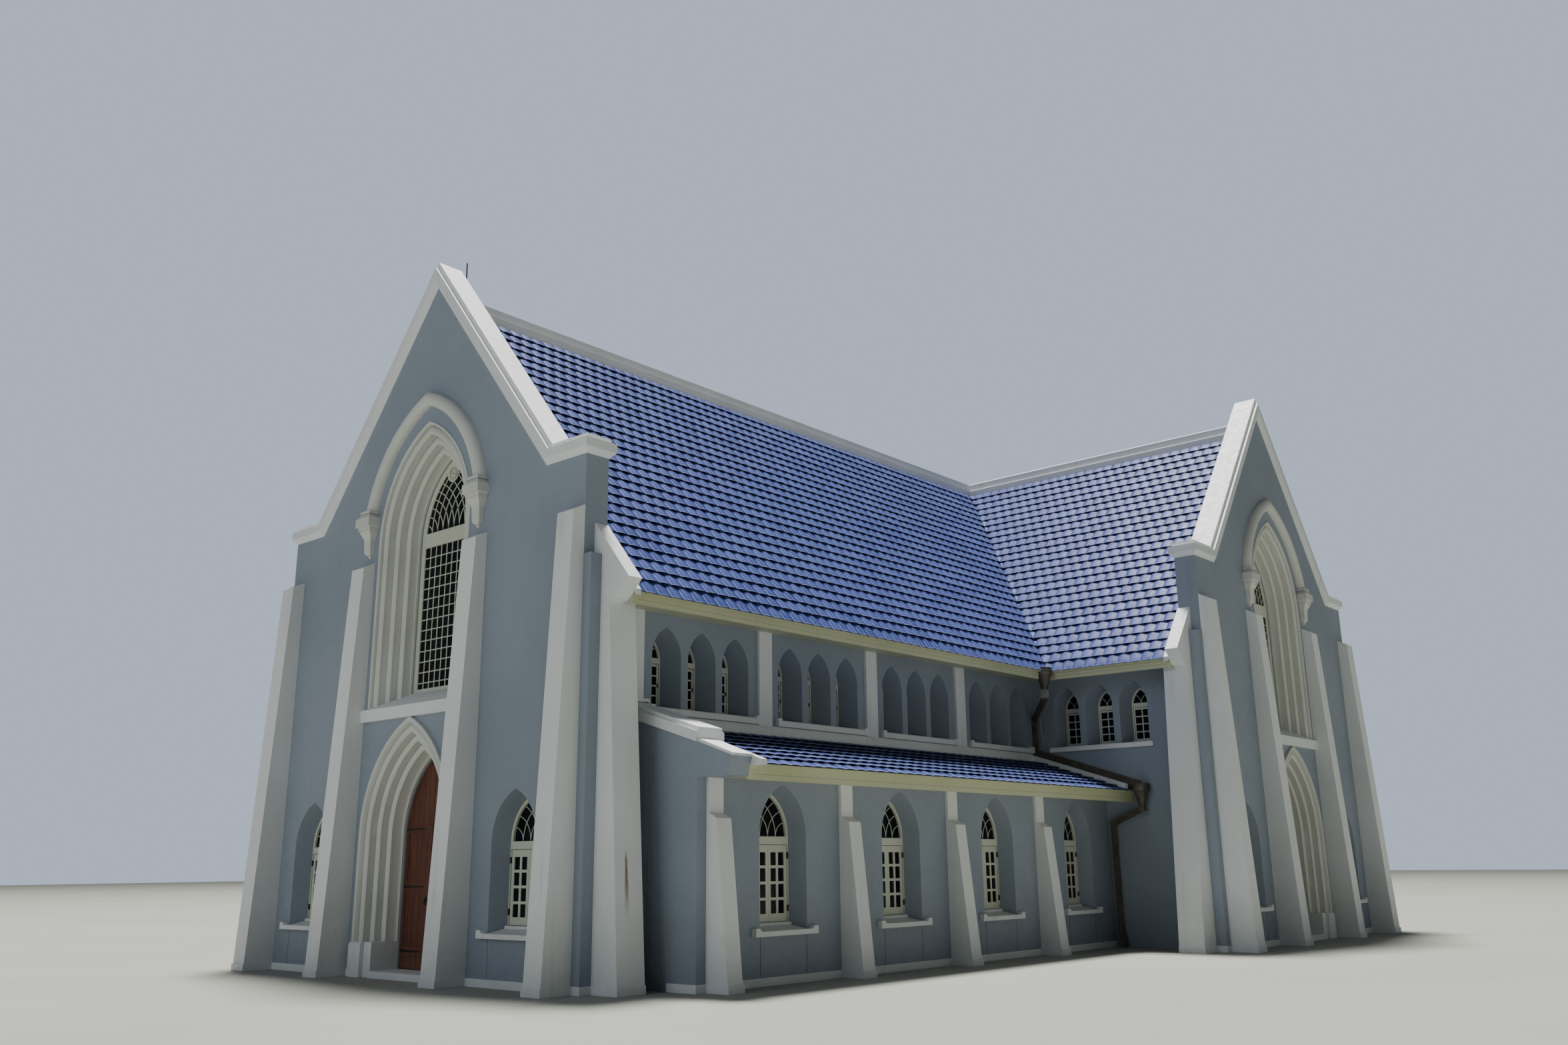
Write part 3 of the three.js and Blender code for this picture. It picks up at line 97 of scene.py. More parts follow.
FASCIA_OUT, FASCIA_LINE_Z, AISLE_FASCIA_OUT, AISLE_FASCIA_LINE_Z = 4.54, 5.168, 5.8, 2.762
UPPER_HOPPER, LOWER_HOPPER, HOPPER_NOTCH = (4.56, 11.45, 5.34), (6.045, 12.296, 3.035), 0.17
DOWNPIPE, DUCT_HALF, COUPLING_HALF, SHOE_HALF = (5.385, 12.365), 0.045, 0.058, 0.048
TILE_WIDE, TILE_GAUGE, TILE_LIFT, TILE_THICK = 0.2417, 0.2617, 0.031, 0.012
TILE_OUT, TILE_VERGE, VALLEY_GAP, ROOF_COURSES, AISLE_COURSES = 0.01, 0.526, 0.02, 27, 8
AISLE_VERGE, AISLE_TILE_ENDS = 1.5305, (1.536, 12.146)
TILE_WAVE = (
    (0.0, -0.004), (0.004, 0.006), (0.05, 0.009), (0.18, 0.0135), (0.3, 0.0162), (0.42, 0.0165),
    (0.56, 0.0148), (0.7, 0.0112), (0.86, 0.0062), (0.995, 0.003),
)
# From a tile's upper to its lower edge: place on the slope, drop below its top, and a mark past 1
# underneath, which darkens the glaze as painted shade
TILE_ROWS = (
    (-0.1, 0.0, 0.0), (0.5, 0.0, 0.5), (0.962, 0.0, 0.962), (1.0, 0.002, 1.0), (1.0, TILE_THICK, 1.15),
    (0.9, TILE_THICK, 1.2),
)
TILE_LAYERS = ("tone", "across", "fall")
SHINE = "Specular IOR Level"
ARC_STEPS = 18
HERE = Matrix.Identity(4)
TURN = [2 * math.pi * i / 40 for i in range(40)]


def roof_top(across):
    return RIDGE_Z - RAKE * across


def aisle_top(x):
    return AISLE_EAVE_Z + AISLE_PITCH * (AISLE_EAVE_X - x)


def bay_centre(first, k):
    return first + (k + 0.5) * BAY


def trio(centre):
    return [centre + k * UPPER_SPACING for k in (-1, 0, 1)]


WALL_TOP = roof_top(NAVE_HALF) - ROOF_DROP - JOINT
AISLE_WALL_TOP = aisle_top(AISLE_FACE) - AISLE_DROP - JOINT
NAVE_UPPER = [at for k in range(BAYS) for at in trio(bay_centre(PILASTER_FIRST, k))]
AISLE_CENTRES = [bay_centre(AISLE_FIRST, k) for k in range(BAYS)]


def linear(digits):
    """Linear colour from two hexadecimal digits each of red, green and blue."""
    line = lambda c: c / 12.92 if c <= 0.04045 else ((c + 0.055) / 1.055) ** 2.4
    return (*(line(int(digits[i:i + 2], 16) / 255) for i in (0, 2, 4)), 1)


def having(thing, **settings):
    """The thing, with these settings made."""
    for key, value in settings.items():
        setattr(thing, key, value)
    return thing


def placed(name, data, **settings):
    """New object, put in the scene."""
    made = having(bpy.data.objects.new(name, data), **settings)
    bpy.context.scene.collection.objects.link(made)
    return made


class Finish:
    """A node material that is put together from small steps."""

    def __init__(self, name):
        self.mat = bpy.data.materials.new(name)
        self.mat.use_nodes = True
        self.tree = self.mat.node_tree
        self.shader = self.tree.nodes["Principled BSDF"]
        self.place = self.node("TexCoord").outputs["Object"]

    def node(self, kind, plugs=(), **settings):
        made = having(self.tree.nodes.new("ShaderNode" + kind), **settings)
        self.plug(made, plugs)
        return made

    def plug(self, node, plugs):
        for key, value in plugs:
            if isinstance(value, bpy.types.NodeSocket):
                self.tree.links.new(value, node.inputs[key])
            else:
                node.inputs[key].default_value = value

    def noise(self, scale, detail=3, rough=0.55, place=None):
        place = self.place if place is None else place
        plugs = [("Vector", place), ("Scale", scale), ("Detail", detail), ("Roughness", rough)]
        return self.node("TexNoise", plugs).outputs["Fac"]

    def streaks(self, stretch, detail, rough=0.6):
        place = self.node("Mapping", [("Vector", self.place), ("Scale", stretch)]).outputs["Vector"]
        return self.noise(1.0, detail, rough, place)

    def math(self, operation, a, b=0.5):
        return self.node("Math", [(0, a), (1, b)], operation=operation).outputs[0]

    def times(self, a, b):
        return self.math("MULTIPLY", a, b)

    def span(self, value, low, high, to_low=0.0, to_high=1.0):
        keys = ("Value", "From Min", "From Max", "To Min", "To Max")
        plugs = zip(keys, (value, low, high, to_low, to_high))
        return self.node("MapRange", plugs, interpolation_type="SMOOTHSTEP").outputs[0]

    def mix(self, share, *colours):
        plugs = [(6 + i, linear(c) if isinstance(c, str) else c) for i, c in enumerate(colours)]
        return self.node("Mix", [(0, share), *plugs], data_type="RGBA").outputs[2]

    def axes(self, place):
        return self.node("SeparateXYZ", [(0, place)]).outputs

    def stain(self, side, across, foot, top, half):
        """Upright brown run, pointed at its top and worn away towards its foot."""
        x, y, z = self.axes(self.node("NewGeometry").outputs["Position"])
        off = self.math("ABSOLUTE", self.math("SUBTRACT", y, across))
        narrow = self.span(z, foot, top, half, half * 0.4)
        body = self.span(self.math("DIVIDE", off, narrow), 0.35, 1.1, 1.0, 0.0)
        ends = self.times(self.span(z, top - 0.16, top, 1.0, 0.0), self.span(z, foot, foot + 0.6))
        grain = self.span(self.streaks((60, 60, 9), 5, 0.7), 0.25, 0.6, 0.5, 1.0)
        return self.times(self.times(body, ends), self.times(grain, self.math("GREATER_THAN", x, side)))

    def done(self, colour, rough, height=None, deep=0.001, **more):
        self.plug(self.shader, {"Base Color": colour, "Roughness": rough, **more}.items())
        if height is not None:
            bump = self.node("Bump", [("Strength", 1.0), ("Distance", deep), ("Height", height)])
            self.plug(self.shader, [("Normal", bump.outputs["Normal"])])
        return self.mat


def painted(name, light, dark, grime, soil=0.2, streak=0.3, coarse=0.001, gloss=(0.5, 0.72), stain=None):
    """Painted render: faint patches, fine grain, rain streaks and soiling near the ground."""
    f = Finish(name)
    tone = f.mix(f.span(f.noise(0.55, 4, 0.5), 0.32, 0.7), light, dark)
    tone = f.mix(f.span(f.noise(14, 4, 0.65), 0.3, 0.7, 0.0, 0.1), tone, dark)
    tone = f.mix(f.span(f.streaks((13, 13, 0.5), 5), 0.48, 0.74, 0.0, 0.3), tone, dark)
    rain = f.span(f.streaks((5.5, 5.5, 0.2), 6), 0.54, 0.74, 0.0, streak)
    tone = f.mix(f.times(rain, f.span(f.noise(0.5), 0.46, 0.68)), tone, grime)
    wander = f.math("MULTIPLY_ADD", f.noise(2.2, 5), 0.9)
    low = f.span(f.math("SUBTRACT", f.axes(f.place)["Z"], wander), -0.45, 0.35, soil, 0.0)
    tone = f.mix(f.times(low, f.span(f.noise(7, 6, 0.7), 0.3, 0.7, 0.4, 1.0)), tone, grime)
    if stain:
        tone = f.mix(f.stain(*stain), tone, "7a673e")
    tone = f.mix(f.span(f.noise(55, 2, 0.5), 0.7, 0.76, 0.0, 0.3), tone, grime)
    grain = f.math("ADD", f.noise(75, 4, 0.6), f.times(f.noise(6, 3, 0.5), 0.15))
    return f.done(tone, f.span(f.noise(9, 4), 0.3, 0.7, *gloss), grain, coarse)


def glazed_tile(name, along):
    """Glazed clay: each tile's own tone, painted highlights on its raised side and lower edge, painted
    glints in streaks on top of its wave, painted shade in the trough and on the dark underside.
    """
    f = Finish(name)
    tone, across, fall = (f.node("Attribute", attribute_name=key).outputs["Fac"] for key in TILE_LAYERS)
    streaks = f.streaks(along, 4)
    colour = f.mix(tone, "2c376a", "414d83")
    colour = f.mix(f.span(f.noise(0.8, 4), 0.45, 0.75, 0.0, 0.3), colour, "283261")
    # Painted glints: paler blue in streaks along the top of each tile's wave.
    crest_glint = f.times(f.span(across, 0.2, 0.36), f.span(across, 0.4, 0.6, 1.0, 0.0))
    colour = f.mix(f.times(crest_glint, f.span(streaks, 0.4, 0.62, 0.1, 0.8)), colour, "57649d")
    # Painted highlight: a pale strip along each tile's raised left side and the left part of its lower edge.
    lip_highlight = f.times(f.span(across, 0.03, 0.075, 1.0, 0.0), f.span(fall, 0.25, 0.5))
    edge = f.times(f.span(fall, 0.955, 0.975), f.span(across, 0.5, 0.75, 1.0, 0.0))
    colour = f.mix(f.times(f.math("MAXIMUM", lip_highlight, edge), 0.8), colour, "8897ca")
    # Painted shade: dark navy in the trough where each tile meets the next, fading down the slope.
    groove = f.times(f.span(across, 0.9, 0.97), f.span(fall, 0.3, 0.75, 1.0, 0.2))
    colour = f.mix(groove, colour, "1a1e32")
    colour = f.mix(f.span(f.noise(30, 5, 0.7), 0.58, 0.76, 0.0, 0.25), colour, "606686")
    # Painted shade: past 1 the fall mark turns the tile's front edge and underside near-black.
    colour = f.mix(f.span(fall, 1.0, 1.03), colour, "161928")
    grain = f.math("ADD", streaks, f.noise(40))
    return f.done(colour, f.span(streaks, 0.3, 0.7, 0.36, 0.5), grain, 0.0012, **{SHINE: 0.08})


def glass(name):
    """Near-black glass as painted shade of the unlit room behind it, with a faint upright change of tone, as
    of curtains behind it.
    """
    f = Finish(name)
    folds = f.span(f.streaks((9, 9, 0.6), 3, 0.5), 0.42, 0.62)
    colour = f.mix(folds, "060708", "0e131c")
    rough = f.span(f.noise(5, 4), 0.3, 0.75, 0.08, 0.24)
    return f.done(colour, rough, f.noise(2.5, 2), 0.0015, **{SHINE: 0.15})


def timber(name):
    f = Finish(name)
    grain = f.streaks((34, 34, 2.2), 6, 0.65)
    colour = f.mix(f.span(grain, 0.3, 0.72), "462216", "6c3a24")
    colour = f.mix(f.span(f.noise(2.0, 4), 0.5, 0.8, 0.0, 0.5), colour, "341b13")
    worn = f.span(f.math("ADD", f.axes(f.place)["Z"], f.noise(3, 4)), 0.5, 1.1, 0.45, 0.0)
    colour = f.mix(worn, colour, "785c48")
    return f.done(colour, f.span(grain, 0.3, 0.7, 0.38, 0.6), grain, 0.0025)


def metal(name, light, dark, metallic, gloss=(0.35, 0.6)):
    f = Finish(name)
    colour = f.mix(f.span(f.noise(4, 5, 0.65), 0.35, 0.7), light, dark)
    colour = f.mix(f.span(f.streaks((30, 30, 1.2), 5), 0.55, 0.75, 0.0, 0.5), colour, "5c5446")
    return f.done(colour, f.span(f.noise(12, 4), 0.3, 0.7, *gloss), f.noise(60), 0.0008, Metallic=metallic)


def stone(name):
    f = Finish(name)
    colour = f.mix(f.span(f.noise(3, 6, 0.65), 0.3, 0.7), "7a766e", "9e9a92")
    colour = f.mix(f.span(f.noise(60, 2), 0.6, 0.72, 0.0, 0.5), colour, "54504a")
    return f.done(colour, f.span(f.noise(10, 4), 0.3, 0.7, 0.6, 0.85), f.noise(45, 4), 0.002)


# The brown run is on the battered face of the front gable's return buttress.
RUN = (4.3, 0.39 - SHIFT, 0.88, 1.82, 0.055)
WALL = painted("wall_render", "8993a0", "818b98", "626664")
WHITE = painted("white_render", "dfe2e2", "d4d8d8", "807e72", 0.15, stain=RUN)
# Cream paint for the mouldings and hood, made darker than the white trim as painted shade of the recess they
# stand in.
MOULD = painted("cream_render_and_painted_shade", "caccc6", "bdbfb8", "8c846c", 0.15)
CREAM = painted("frame_paint", "c8cbbd", "bcbfae", "8c866c", 0.15, 0.2, 0.0006, (0.32, 0.5))
# Cream fascia paint, made darker and greener as painted shade under the eaves and painted green bounce
# light.
FASCIA = painted("fascia_paint_and_painted_green_shade", "c0c3a2", "b3b692", "847c5c", 0.0, 0.5, 0.0008, (0.35, 0.55))
SEAM = painted("seam_line", "80827a", "70726a", "545248")
# Near-black lines: real panel joints, and grooves at the hood's neck and the aisle's end wall, where the
# dark is painted shade.
LINE = painted("joint_and_shade_line", "3a3c3c", "2c2e2e", "1e1e1c")
TILE_X = glazed_tile("tile_glaze_x", (2.5, 42, 2.5))
TILE_Y = glazed_tile("tile_glaze_y", (42, 2.5, 2.5))
# Near-black blue for the roof slab under the tiles: painted shade, so the gaps under the tile edges read
# dark.
UNDERLAY_SHADE = painted("roof_underlay_painted_shade", "2c3046", "202336", "181922", 0.0)
# The glass's near-black colour is painted shade of the room behind it.
GLASS = glass("window_glass_painted_interior_shade")
TIMBER = timber("door_timber")
BRONZE = metal("bronze_paint", "625e54", "46433c", 0.25)
COUPLING = metal("coupling_paint", "969894", "7a7c78", 0.2)
IRON = metal("dark_iron", "34322e", "22201e", 0.5)
LEAD = metal("valley_metal", "a8acb2", "8a8e94", 0.6, (0.3, 0.5))
STONE = stone("floor_stone")


def shown(mesh, smooth):
    """Object of a mesh, shaded smooth apart from edges sharper than an angle."""
    mesh.shade_smooth()
    mesh.set_sharp_from_angle(angle=math.radians(smooth))
    made = placed(mesh.name, mesh)
    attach(made, "root")
    return made


def soften(target, width):
    having(target.modifiers.new("soft_edges", "BEVEL"), width=width, segments=2, limit_method="ANGLE",
           angle_limit=math.radians(40), harden_normals=False)


class Piece:
    """Bodies gathered in one mesh, in the building's axes; node names what it replaces."""

    def __init__(self, name, slot, finishes, node=None, smooth=32, bevel=0.0):
        self.name, self.slot, self.finishes, self.node = name, slot, finishes, node
        self.smooth, self.bevel = smooth, bevel
        self.verts, self.faces, self.looks = [], [], []

    def add(self, body, look=0, at=None):
        verts, faces = body
        start = len(self.verts)
        self.verts.extend(tuple(at @ Vector(v)) if at else tuple(v) for v in verts)
        self.faces.extend(tuple(start + i for i in face) for face in faces)
        self.looks.extend([look] * len(faces))

    def make(self, prefix="", at=HERE):
        """Mesh and object, with a prefix to both names."""
        mesh = bpy.data.meshes.new(prefix + self.name)
        mesh.from_pydata(self.verts, [], self.faces)
        for finish in self.finishes:
            mesh.materials.append(finish)
        mesh.polygons.foreach_set("material_index", self.looks)
        mesh.transform(Matrix.Translation((0, -SHIFT, 0)) @ at)
        tidy = bmesh.new()
        tidy.from_mesh(mesh)
        bmesh.ops.recalc_face_normals(tidy, faces=tidy.faces)
        tidy.to_mesh(mesh)
        tidy.free()
        made = shown(mesh, self.smooth)
        if self.bevel:
            soften(made, self.bevel)
        if self.node:
            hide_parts(prefix + self.node)


def make_all(pieces, places):
    for prefix, matrix in places.items():
        for piece in pieces:
            piece.make(prefix, matrix)


def box(x0, x1, y0, y1, z0, z1):
    verts = [(x, y, z) for x in sorted((x0, x1)) for y in (y0, y1) for z in (z0, z1)]
    faces = [(0, 1, 3, 2), (4, 6, 7, 5), (0, 4, 5, 1), (2, 3, 7, 6), (0, 2, 6, 4), (1, 5, 7, 3)]
    return verts, faces


def caps(loops):
    return tessellate_polygon([[Vector((u, v, 0)) for u, v in loop] for loop in loops])


def walling(front, back, y0, y1):
    """Plate between two depths: an outline, then its openings, whose shapes may change on the way."""
    near, far = ([p for loop in loops for p in loop] for loops in (front, back))
    count = len(near)
    verts = [(x, y0, z) for x, z in near] + [(x, y1, z) for x, z in far]
    faces = [tuple(t) for t in caps(front)] + [tuple(count + i for i in t) for t in caps(back)]
    start = 0
    for loop in front:
        size = len(loop)
        for i in range(size):
            a, b = start + i, start + (i + 1) % size
            faces.append((a, b, count + b, count + a))
        start += size
    return verts, faces


def prism(outline, y0, y1, holes=()):
    """Outline in x and z with holes, from one depth to another."""
    loops = [outline, *holes]
    return walling(loops, loops, y0, y1)


def loft(rings):
    size, last = len(rings[0]), len(rings) - 1
    verts = [tuple(p) for ring in rings for p in ring]
    faces = []
    for r in range(last):
        for i in range(size):
            j = (i + 1) % size
            faces.append((r * size + i, r * size + j, (r + 1) * size + j, (r + 1) * size + i))
    return verts, faces + [tuple(range(size)), tuple(last * size + i for i in range(size))]


def along_x(section, x0, x1):
    """Section in y and z, from one x to another."""
    return loft([[(x, y, z) for y, z in section] for x in sorted((x0, x1))])


def arch_line(half, offset, spring, foot):
    """From the left foot over the point of the arch to the right foot, in x and z."""
    radius = half + offset
    top = math.acos(offset / radius)
    low = math.asin((foot - spring) / radius) if foot > spring else 0.0
    angles = [low + (top - low) * i / ARC_STEPS for i in range(ARC_STEPS)]
    right = [(radius * math.cos(a) - offset, spring + radius * math.sin(a)) for a in angles]
    if foot < spring:
        right.insert(0, (half, foot))
    return [(-x, z) for x, z in right] + [(0.0, spring + radius * math.sin(top))] + right[::-1]


def moved(points, dx):
    return [(x + dx, z) for x, z in points]


def rectangle(x0, x1, z0, z1):
    return [(x0, z0), (x1, z0), (x1, z1), (x0, z1)]


def moulding(profile, offset, spring, foot):
    """Profile points (half width, depth) swept up one jamb, over the arch and down the other."""
    lines = [[(x, deep, z) for x, z in arch_line(half, offset, spring, foot)] for half, deep in profile]
    size, count = len(lines[0]), len(profile)
    faces = []
    for i in range(count):
        j = (i + 1) % count
        for k in range(size - 1):
            faces.append((i * size + k, i * size + k + 1, j * size + k + 1, j * size + k))
    for end in (0, size - 1):
        faces.extend(tuple(i * size + end for i in t) for t in caps([profile]))
    return [p for line in lines for p in line], faces


def arc_bar(centre, radius, start, end, wide, y0, y1, steps):
    """Bar that follows an arc in x and z."""
    rings = []
    for i in range(steps + 1):
        angle = start + (end - start) * i / steps
        near, far = ((centre[0] + r * math.cos(angle), centre[1] + r * math.sin(angle))
                     for r in (radius - wide / 2, radius + wide / 2))
        rings.append([(x, y, z) for (x, z), y in ((near, y0), (far, y0), (far, y1), (near, y1))])
    return loft(rings)


def tube(points, radius):
    """Round pipe through points, with mitred bends."""
    points = [Vector(p) for p in points]
    rings, side = [], None
    for i, p in enumerate(points):
        around = points[max(i - 1, 0):i + 2]
        legs = [(b - a).normalized() for a, b in zip(around, around[1:])]
        bend = len(legs) == 2
        axis = (legs[0] + legs[1]).normalized() if bend else legs[0]
        widen = 1.0 / max(0.4, legs[0].dot(axis)) if bend else 1.0
        side = axis.orthogonal().normalized() if side is None else side
        side = (side - axis * side.dot(axis)).normalized()
        other = axis.cross(side)
        swell = 1 + (widen - 1) * 0.5
        rings.append([p + (side * math.cos(a) + other * math.sin(a)) * radius * swell for a in TURN[::5]])
    return loft(rings)


def square_duct(a, b):
    """Straight square duct with two shallow grooves down each face."""
    a, b = Vector(a), Vector(b)
    axis = (b - a).normalized()
    side = axis.cross(Vector((0, 0, 1)))
    side = side.normalized() if side.length > 0.01 else Vector((1, 0, 0))
    up = side.cross(axis)
    half, deep = DUCT_HALF, DUCT_HALF - 0.004
    groove = [(0.026, half), (0.023, deep), (0.017, deep), (0.014, half)]
    face = [(-half, half), *((-u, v) for u, v in groove), *groove[::-1]]
    line = [(u * c - v * s, u * s + v * c) for c, s in ((1, 0), (0, -1), (-1, 0), (0, 1)) for u, v in face]
    return loft([[p + side * u + up * v for u, v in line] for p in (a, b)])


def basis(x, y, at):
    """Frame of a wall: x along it, y into it, and where its face starts."""
    x, y = Vector(x), Vector(y)
    turned = Matrix((x, y, x.cross(y))).transposed().to_4x4()
    turned.translation = at
    return turned


GABLES = {
    "front_": HERE,
    "right_": basis((0, 1, 0), (-1, 0, 0), (TRANSEPT_FACE, CROSSING_Y, 0)),
    "left_": basis((0, -1, 0), (1, 0, 0), (-TRANSEPT_FACE, CROSSING_Y, 0)),
}
SIDES = {"right_": HERE, "left_": Matrix.Diagonal((-1, 1, 1, 1))}
NAVE_WALL = basis((0, 1, 0), (-1, 0, 0), (NAVE_HALF, 0, 0))
AISLE_WALL = basis((0, 1, 0), (-1, 0, 0), (AISLE_FACE, 0, 0))
SIDE_WALL = Matrix.Translation((0, SIDE_FACE, 0))
REAR_WALL = basis((-1, 0, 0), (0, -1, 0), (0, REAR_FACE, 0))


def window_rings(centres, w):
    """Outer and inner outlines of the windows' splayed reveals."""
    outer = arch_line(w.outer, *w.arch, w.sill)
    inner = arch_line(w.inner, *w.arch, w.sill_inner)
    return [moved(outer, at) for at in centres], [moved(inner, at) for at in centres]


def tracery(add, at, half, offset, spring, foot, mullions, wide, y0, boss=None):
    """Interlacing bars: each mullion sends an arc both ways, struck from the ends of the transom.

    An arc runs until it meets the frame, and is left out where it would cross the round boss.
    """
    free = lambda x, z: boss is None or math.hypot(x, z - boss[0]) > boss[1]
    inside = lambda x, z: math.hypot(abs(x) + offset, max(0.0, z - spring)) < half + offset
    step = 0.015
    for m, side in ((m, side) for m in mullions for side in (-1, 1)):
        centre, radius = side * half, half - side * m
        if radius < 0.03:
            continue
        run = []
        for i in range(160):
            angle = i * step
            x, z = centre - side * radius * math.cos(angle), foot + radius * math.sin(angle)
            if inside(x, z) and free(x, z):
                run.append(angle)
                continue
            if len(run) > 1:
                ends = [max(0.0, run[0] - step), run[-1] + step]
                start, stop = ends if side < 0 else (math.pi - ends[0], math.pi - ends[1])
                steps = max(2, round(len(run) * step * radius / 0.05))
                add(arc_bar((centre + at, foot), radius, start, stop, wide, y0, y0 + 0.01, steps))
            run = []
            if not inside(x, z):
                break


def window(frames, panes, at, w, matrix):
    """Frame, casements, tracery and glass of one window in its wall's frame."""
    y0 = w.deep + 0.002
    back = y0 + 0.07
    put = lambda body, look=0: frames.add(body, look, matrix)
    half = w.inner - 0.001
    low, high = w.transom
    base = w.sill_inner - 0.01
    head = arch_line(half, *w.arch, high) + arch_line(half - w.ring, *w.arch, high)[::-1]
    put(prism(moved(head, at), y0, back))
    put(box(at - half, at + half, y0, back, low, high + 0.002))
    if w.leaves == 1:
        put(box(at - half + 0.01, at + half - 0.01, y0 - 0.012, y0 + 0.01, low + 0.002, low + 0.022))
    for side in (-1, 1):
        put(box(at + side * half, at + side * (half - w.jamb), y0, back, base, low))
    put(box(at - half, at + half, y0 + 0.012, back, base, w.foot - 0.008))
    tracery(put, at, half - w.ring, *w.arch, high, w.mullions, w.bar, y0 + 0.024)
    z0, z1 = w.panes
    pitch = (z1 - z0 + w.rail) / w.rows
    rows = [(z0 + k * pitch, z0 + (k + 1) * pitch - w.rail) for k in range(w.rows)]
    gap = 0.004
    reach = half - w.jamb - gap
    leaves = [(-reach, -gap / 2), (gap / 2, reach)] if w.leaves == 2 else [(-reach, reach)]
    columns = [sorted((side * a, side * b)) for a, b in w.columns for side in (-1, 1)]
    for left, right in leaves:
        mine = [(u, v) for u, v in columns if left < (u + v) / 2 < right]
        holes = [rectangle(at + u, at + v, *row) for u, v in mine for row in rows]
        put(prism(rectangle(at + left, at + right, w.foot, low - 0.006), y0 + 0.02, y0 + 0.044, holes))
    pane = moved(arch_line(half - 0.01, *w.arch, base + 0.02), at)
    panes.add(prism(pane, y0 + 0.036, y0 + 0.04), 0, matrix)
    if w.leaves == 1:
        x = at + reach - 0.014
        put(box(x - 0.008, x + 0.008, y0 + 0.006, y0 + 0.022, 4.2, 4.26), 1)
        return
    for x in (at - (half - 0.012), at + (half - 0.012)):
        for z in (z1 - 0.045, z0 + 0.07):
            put(box(x - 0.007, x + 0.007, y0 - 0.003, y0 + 0.024, z - 0.042, z + 0.042), 1)
            put(tube([(x, y0 - 0.004, z - 0.046), (x, y0 - 0.004, z + 0.046)], 0.0055), 1)


def splay(w, y):
    """Half width of a window's opening at a depth."""
    return w.outer + (w.inner - w.outer) * min(1.0, y / w.deep) - 0.001


def level(at, half, y, low, top):
    return [(x, y, z) for x, z in rectangle(at - half, at + half, low, top)]


def sill(white, at, w, matrix):
    """Sloping sill in the reveal, a step under the frame, and the block with raised ends below."""
    front, step, back = -0.001, w.deep - 0.04, w.deep + 0.014
    top = lambda y: 0.716 + 0.231 * y
    slope = [level(at, splay(w, y), y, top(y) - 0.06, top(y)) for y in (front, step + 0.01)]
    stool = [level(at, splay(w, y), y, 0.74, z) for y, z in ((step, 0.806), (back, 0.812))]
    half = 0.66
    end = [(0.0, 0.757), (0.09, 0.757), (0.098, 0.745), (0.108, 0.728), (0.122, 0.718), (0.14, 0.715)]
    block = [(at - half, SILL_BLOCK_Z), (at + half, SILL_BLOCK_Z)]
    block += [(at + half - u, z) for u, z in end] + [(at - half + u, z) for u, z in end[::-1]]
    for body in (loft(slope), loft(stool), prism(block, -SILL_BLOCK_OUT, 0.002)):
        white.add(body, 0, matrix)


def windows(name, node, w, *groups):
    """Pieces for the frames, panes and, below larger windows, sills; only the frames replace a node."""
    frames = Piece(name + "frames", "cream_frames", [CREAM, IRON], node, bevel=0.002)
    panes = Piece(name + "glass", "cream_frames", [GLASS])
    sills = Piece(name + "sills", "white_stone", [WHITE], bevel=0.005)
    for centres, matrix in groups:
        for at in centres:
            window(frames, panes, at, w, matrix)
            if w.leaves == 2:
                sill(sills, at, w, matrix)
    return (frames, panes, sills)[:1 + w.leaves]


def gable_wall():
    great = arch_line(WINDOW_OUTER, *GREAT_ARCH, SILL_BAND_TOP)
    light = arch_line(WINDOW_INNER, *GREAT_ARCH, WINDOW_SILL_Z)
    portal = arch_line(PORTAL_OUTER, *PORTAL_ARCH, 0.02)
    door = arch_line(DOOR_HALF, *PORTAL_ARCH, 0.02)
    outer, inner = window_rings([-GABLE_WINDOW_X, GABLE_WINDOW_X], GABLE_LOWER)
    half, deep = GABLE_HALF, GABLE_LOWER.deep
    front = [
        (-half, 0), (half, 0), (half, SHOULDER_Z), (SHOULDER_X, SHOULDER_Z),
        (0, APEX_Z), (-SHOULDER_X, SHOULDER_Z), (-half, SHOULDER_Z),
    ]
    eave, peak = roof_top(half) - ROOF_DROP - JOINT, roof_top(0) - ROOF_DROP
    back = [(-half, 0), (half, 0), (half, eave), (0, peak), (-half, eave)]
    piece = Piece("wall_fine", "grey_render", [WALL, LINE], "wall")
    piece.add(walling([front, great, portal, *outer], [front, great, portal, *inner], 0, deep))
    piece.add(prism(front, deep, PARAPET_THICK, [great, portal, *inner]))
    piece.add(prism(back, PARAPET_THICK, MOULDING_DEEP, [great, portal, *inner]))
    piece.add(prism(back, MOULDING_DEEP, GABLE_THICK, [light, door, *inner]))
    for side in (-1, 1):
        for joint in (-PANEL_JOINT, PANEL_JOINT):
            x = side * GABLE_WINDOW_X + joint
            piece.add(box(x - 0.003, x + 0.003, -0.0012, 0.001, PLINTH_Z, SILL_BLOCK_Z), 1)
        near, far = side * (half - 0.002), side * (half + PIER_OUT)
        piece.add(box(near, far, -0.0065, PIER_BACK, PLINTH_Z + 0.001, PIER_TOP))
    return piece


def orders(first, step, depth, radius):
    """Profile of three rolls that step in from the wall face, with hollows between them."""
    angles = [math.radians(35 - 20 * i) for i in range(10)]
    return [(first - k * step + radius * math.cos(a), depth + k * step + radius * math.sin(a))
            for k in range(3) for a in angles]


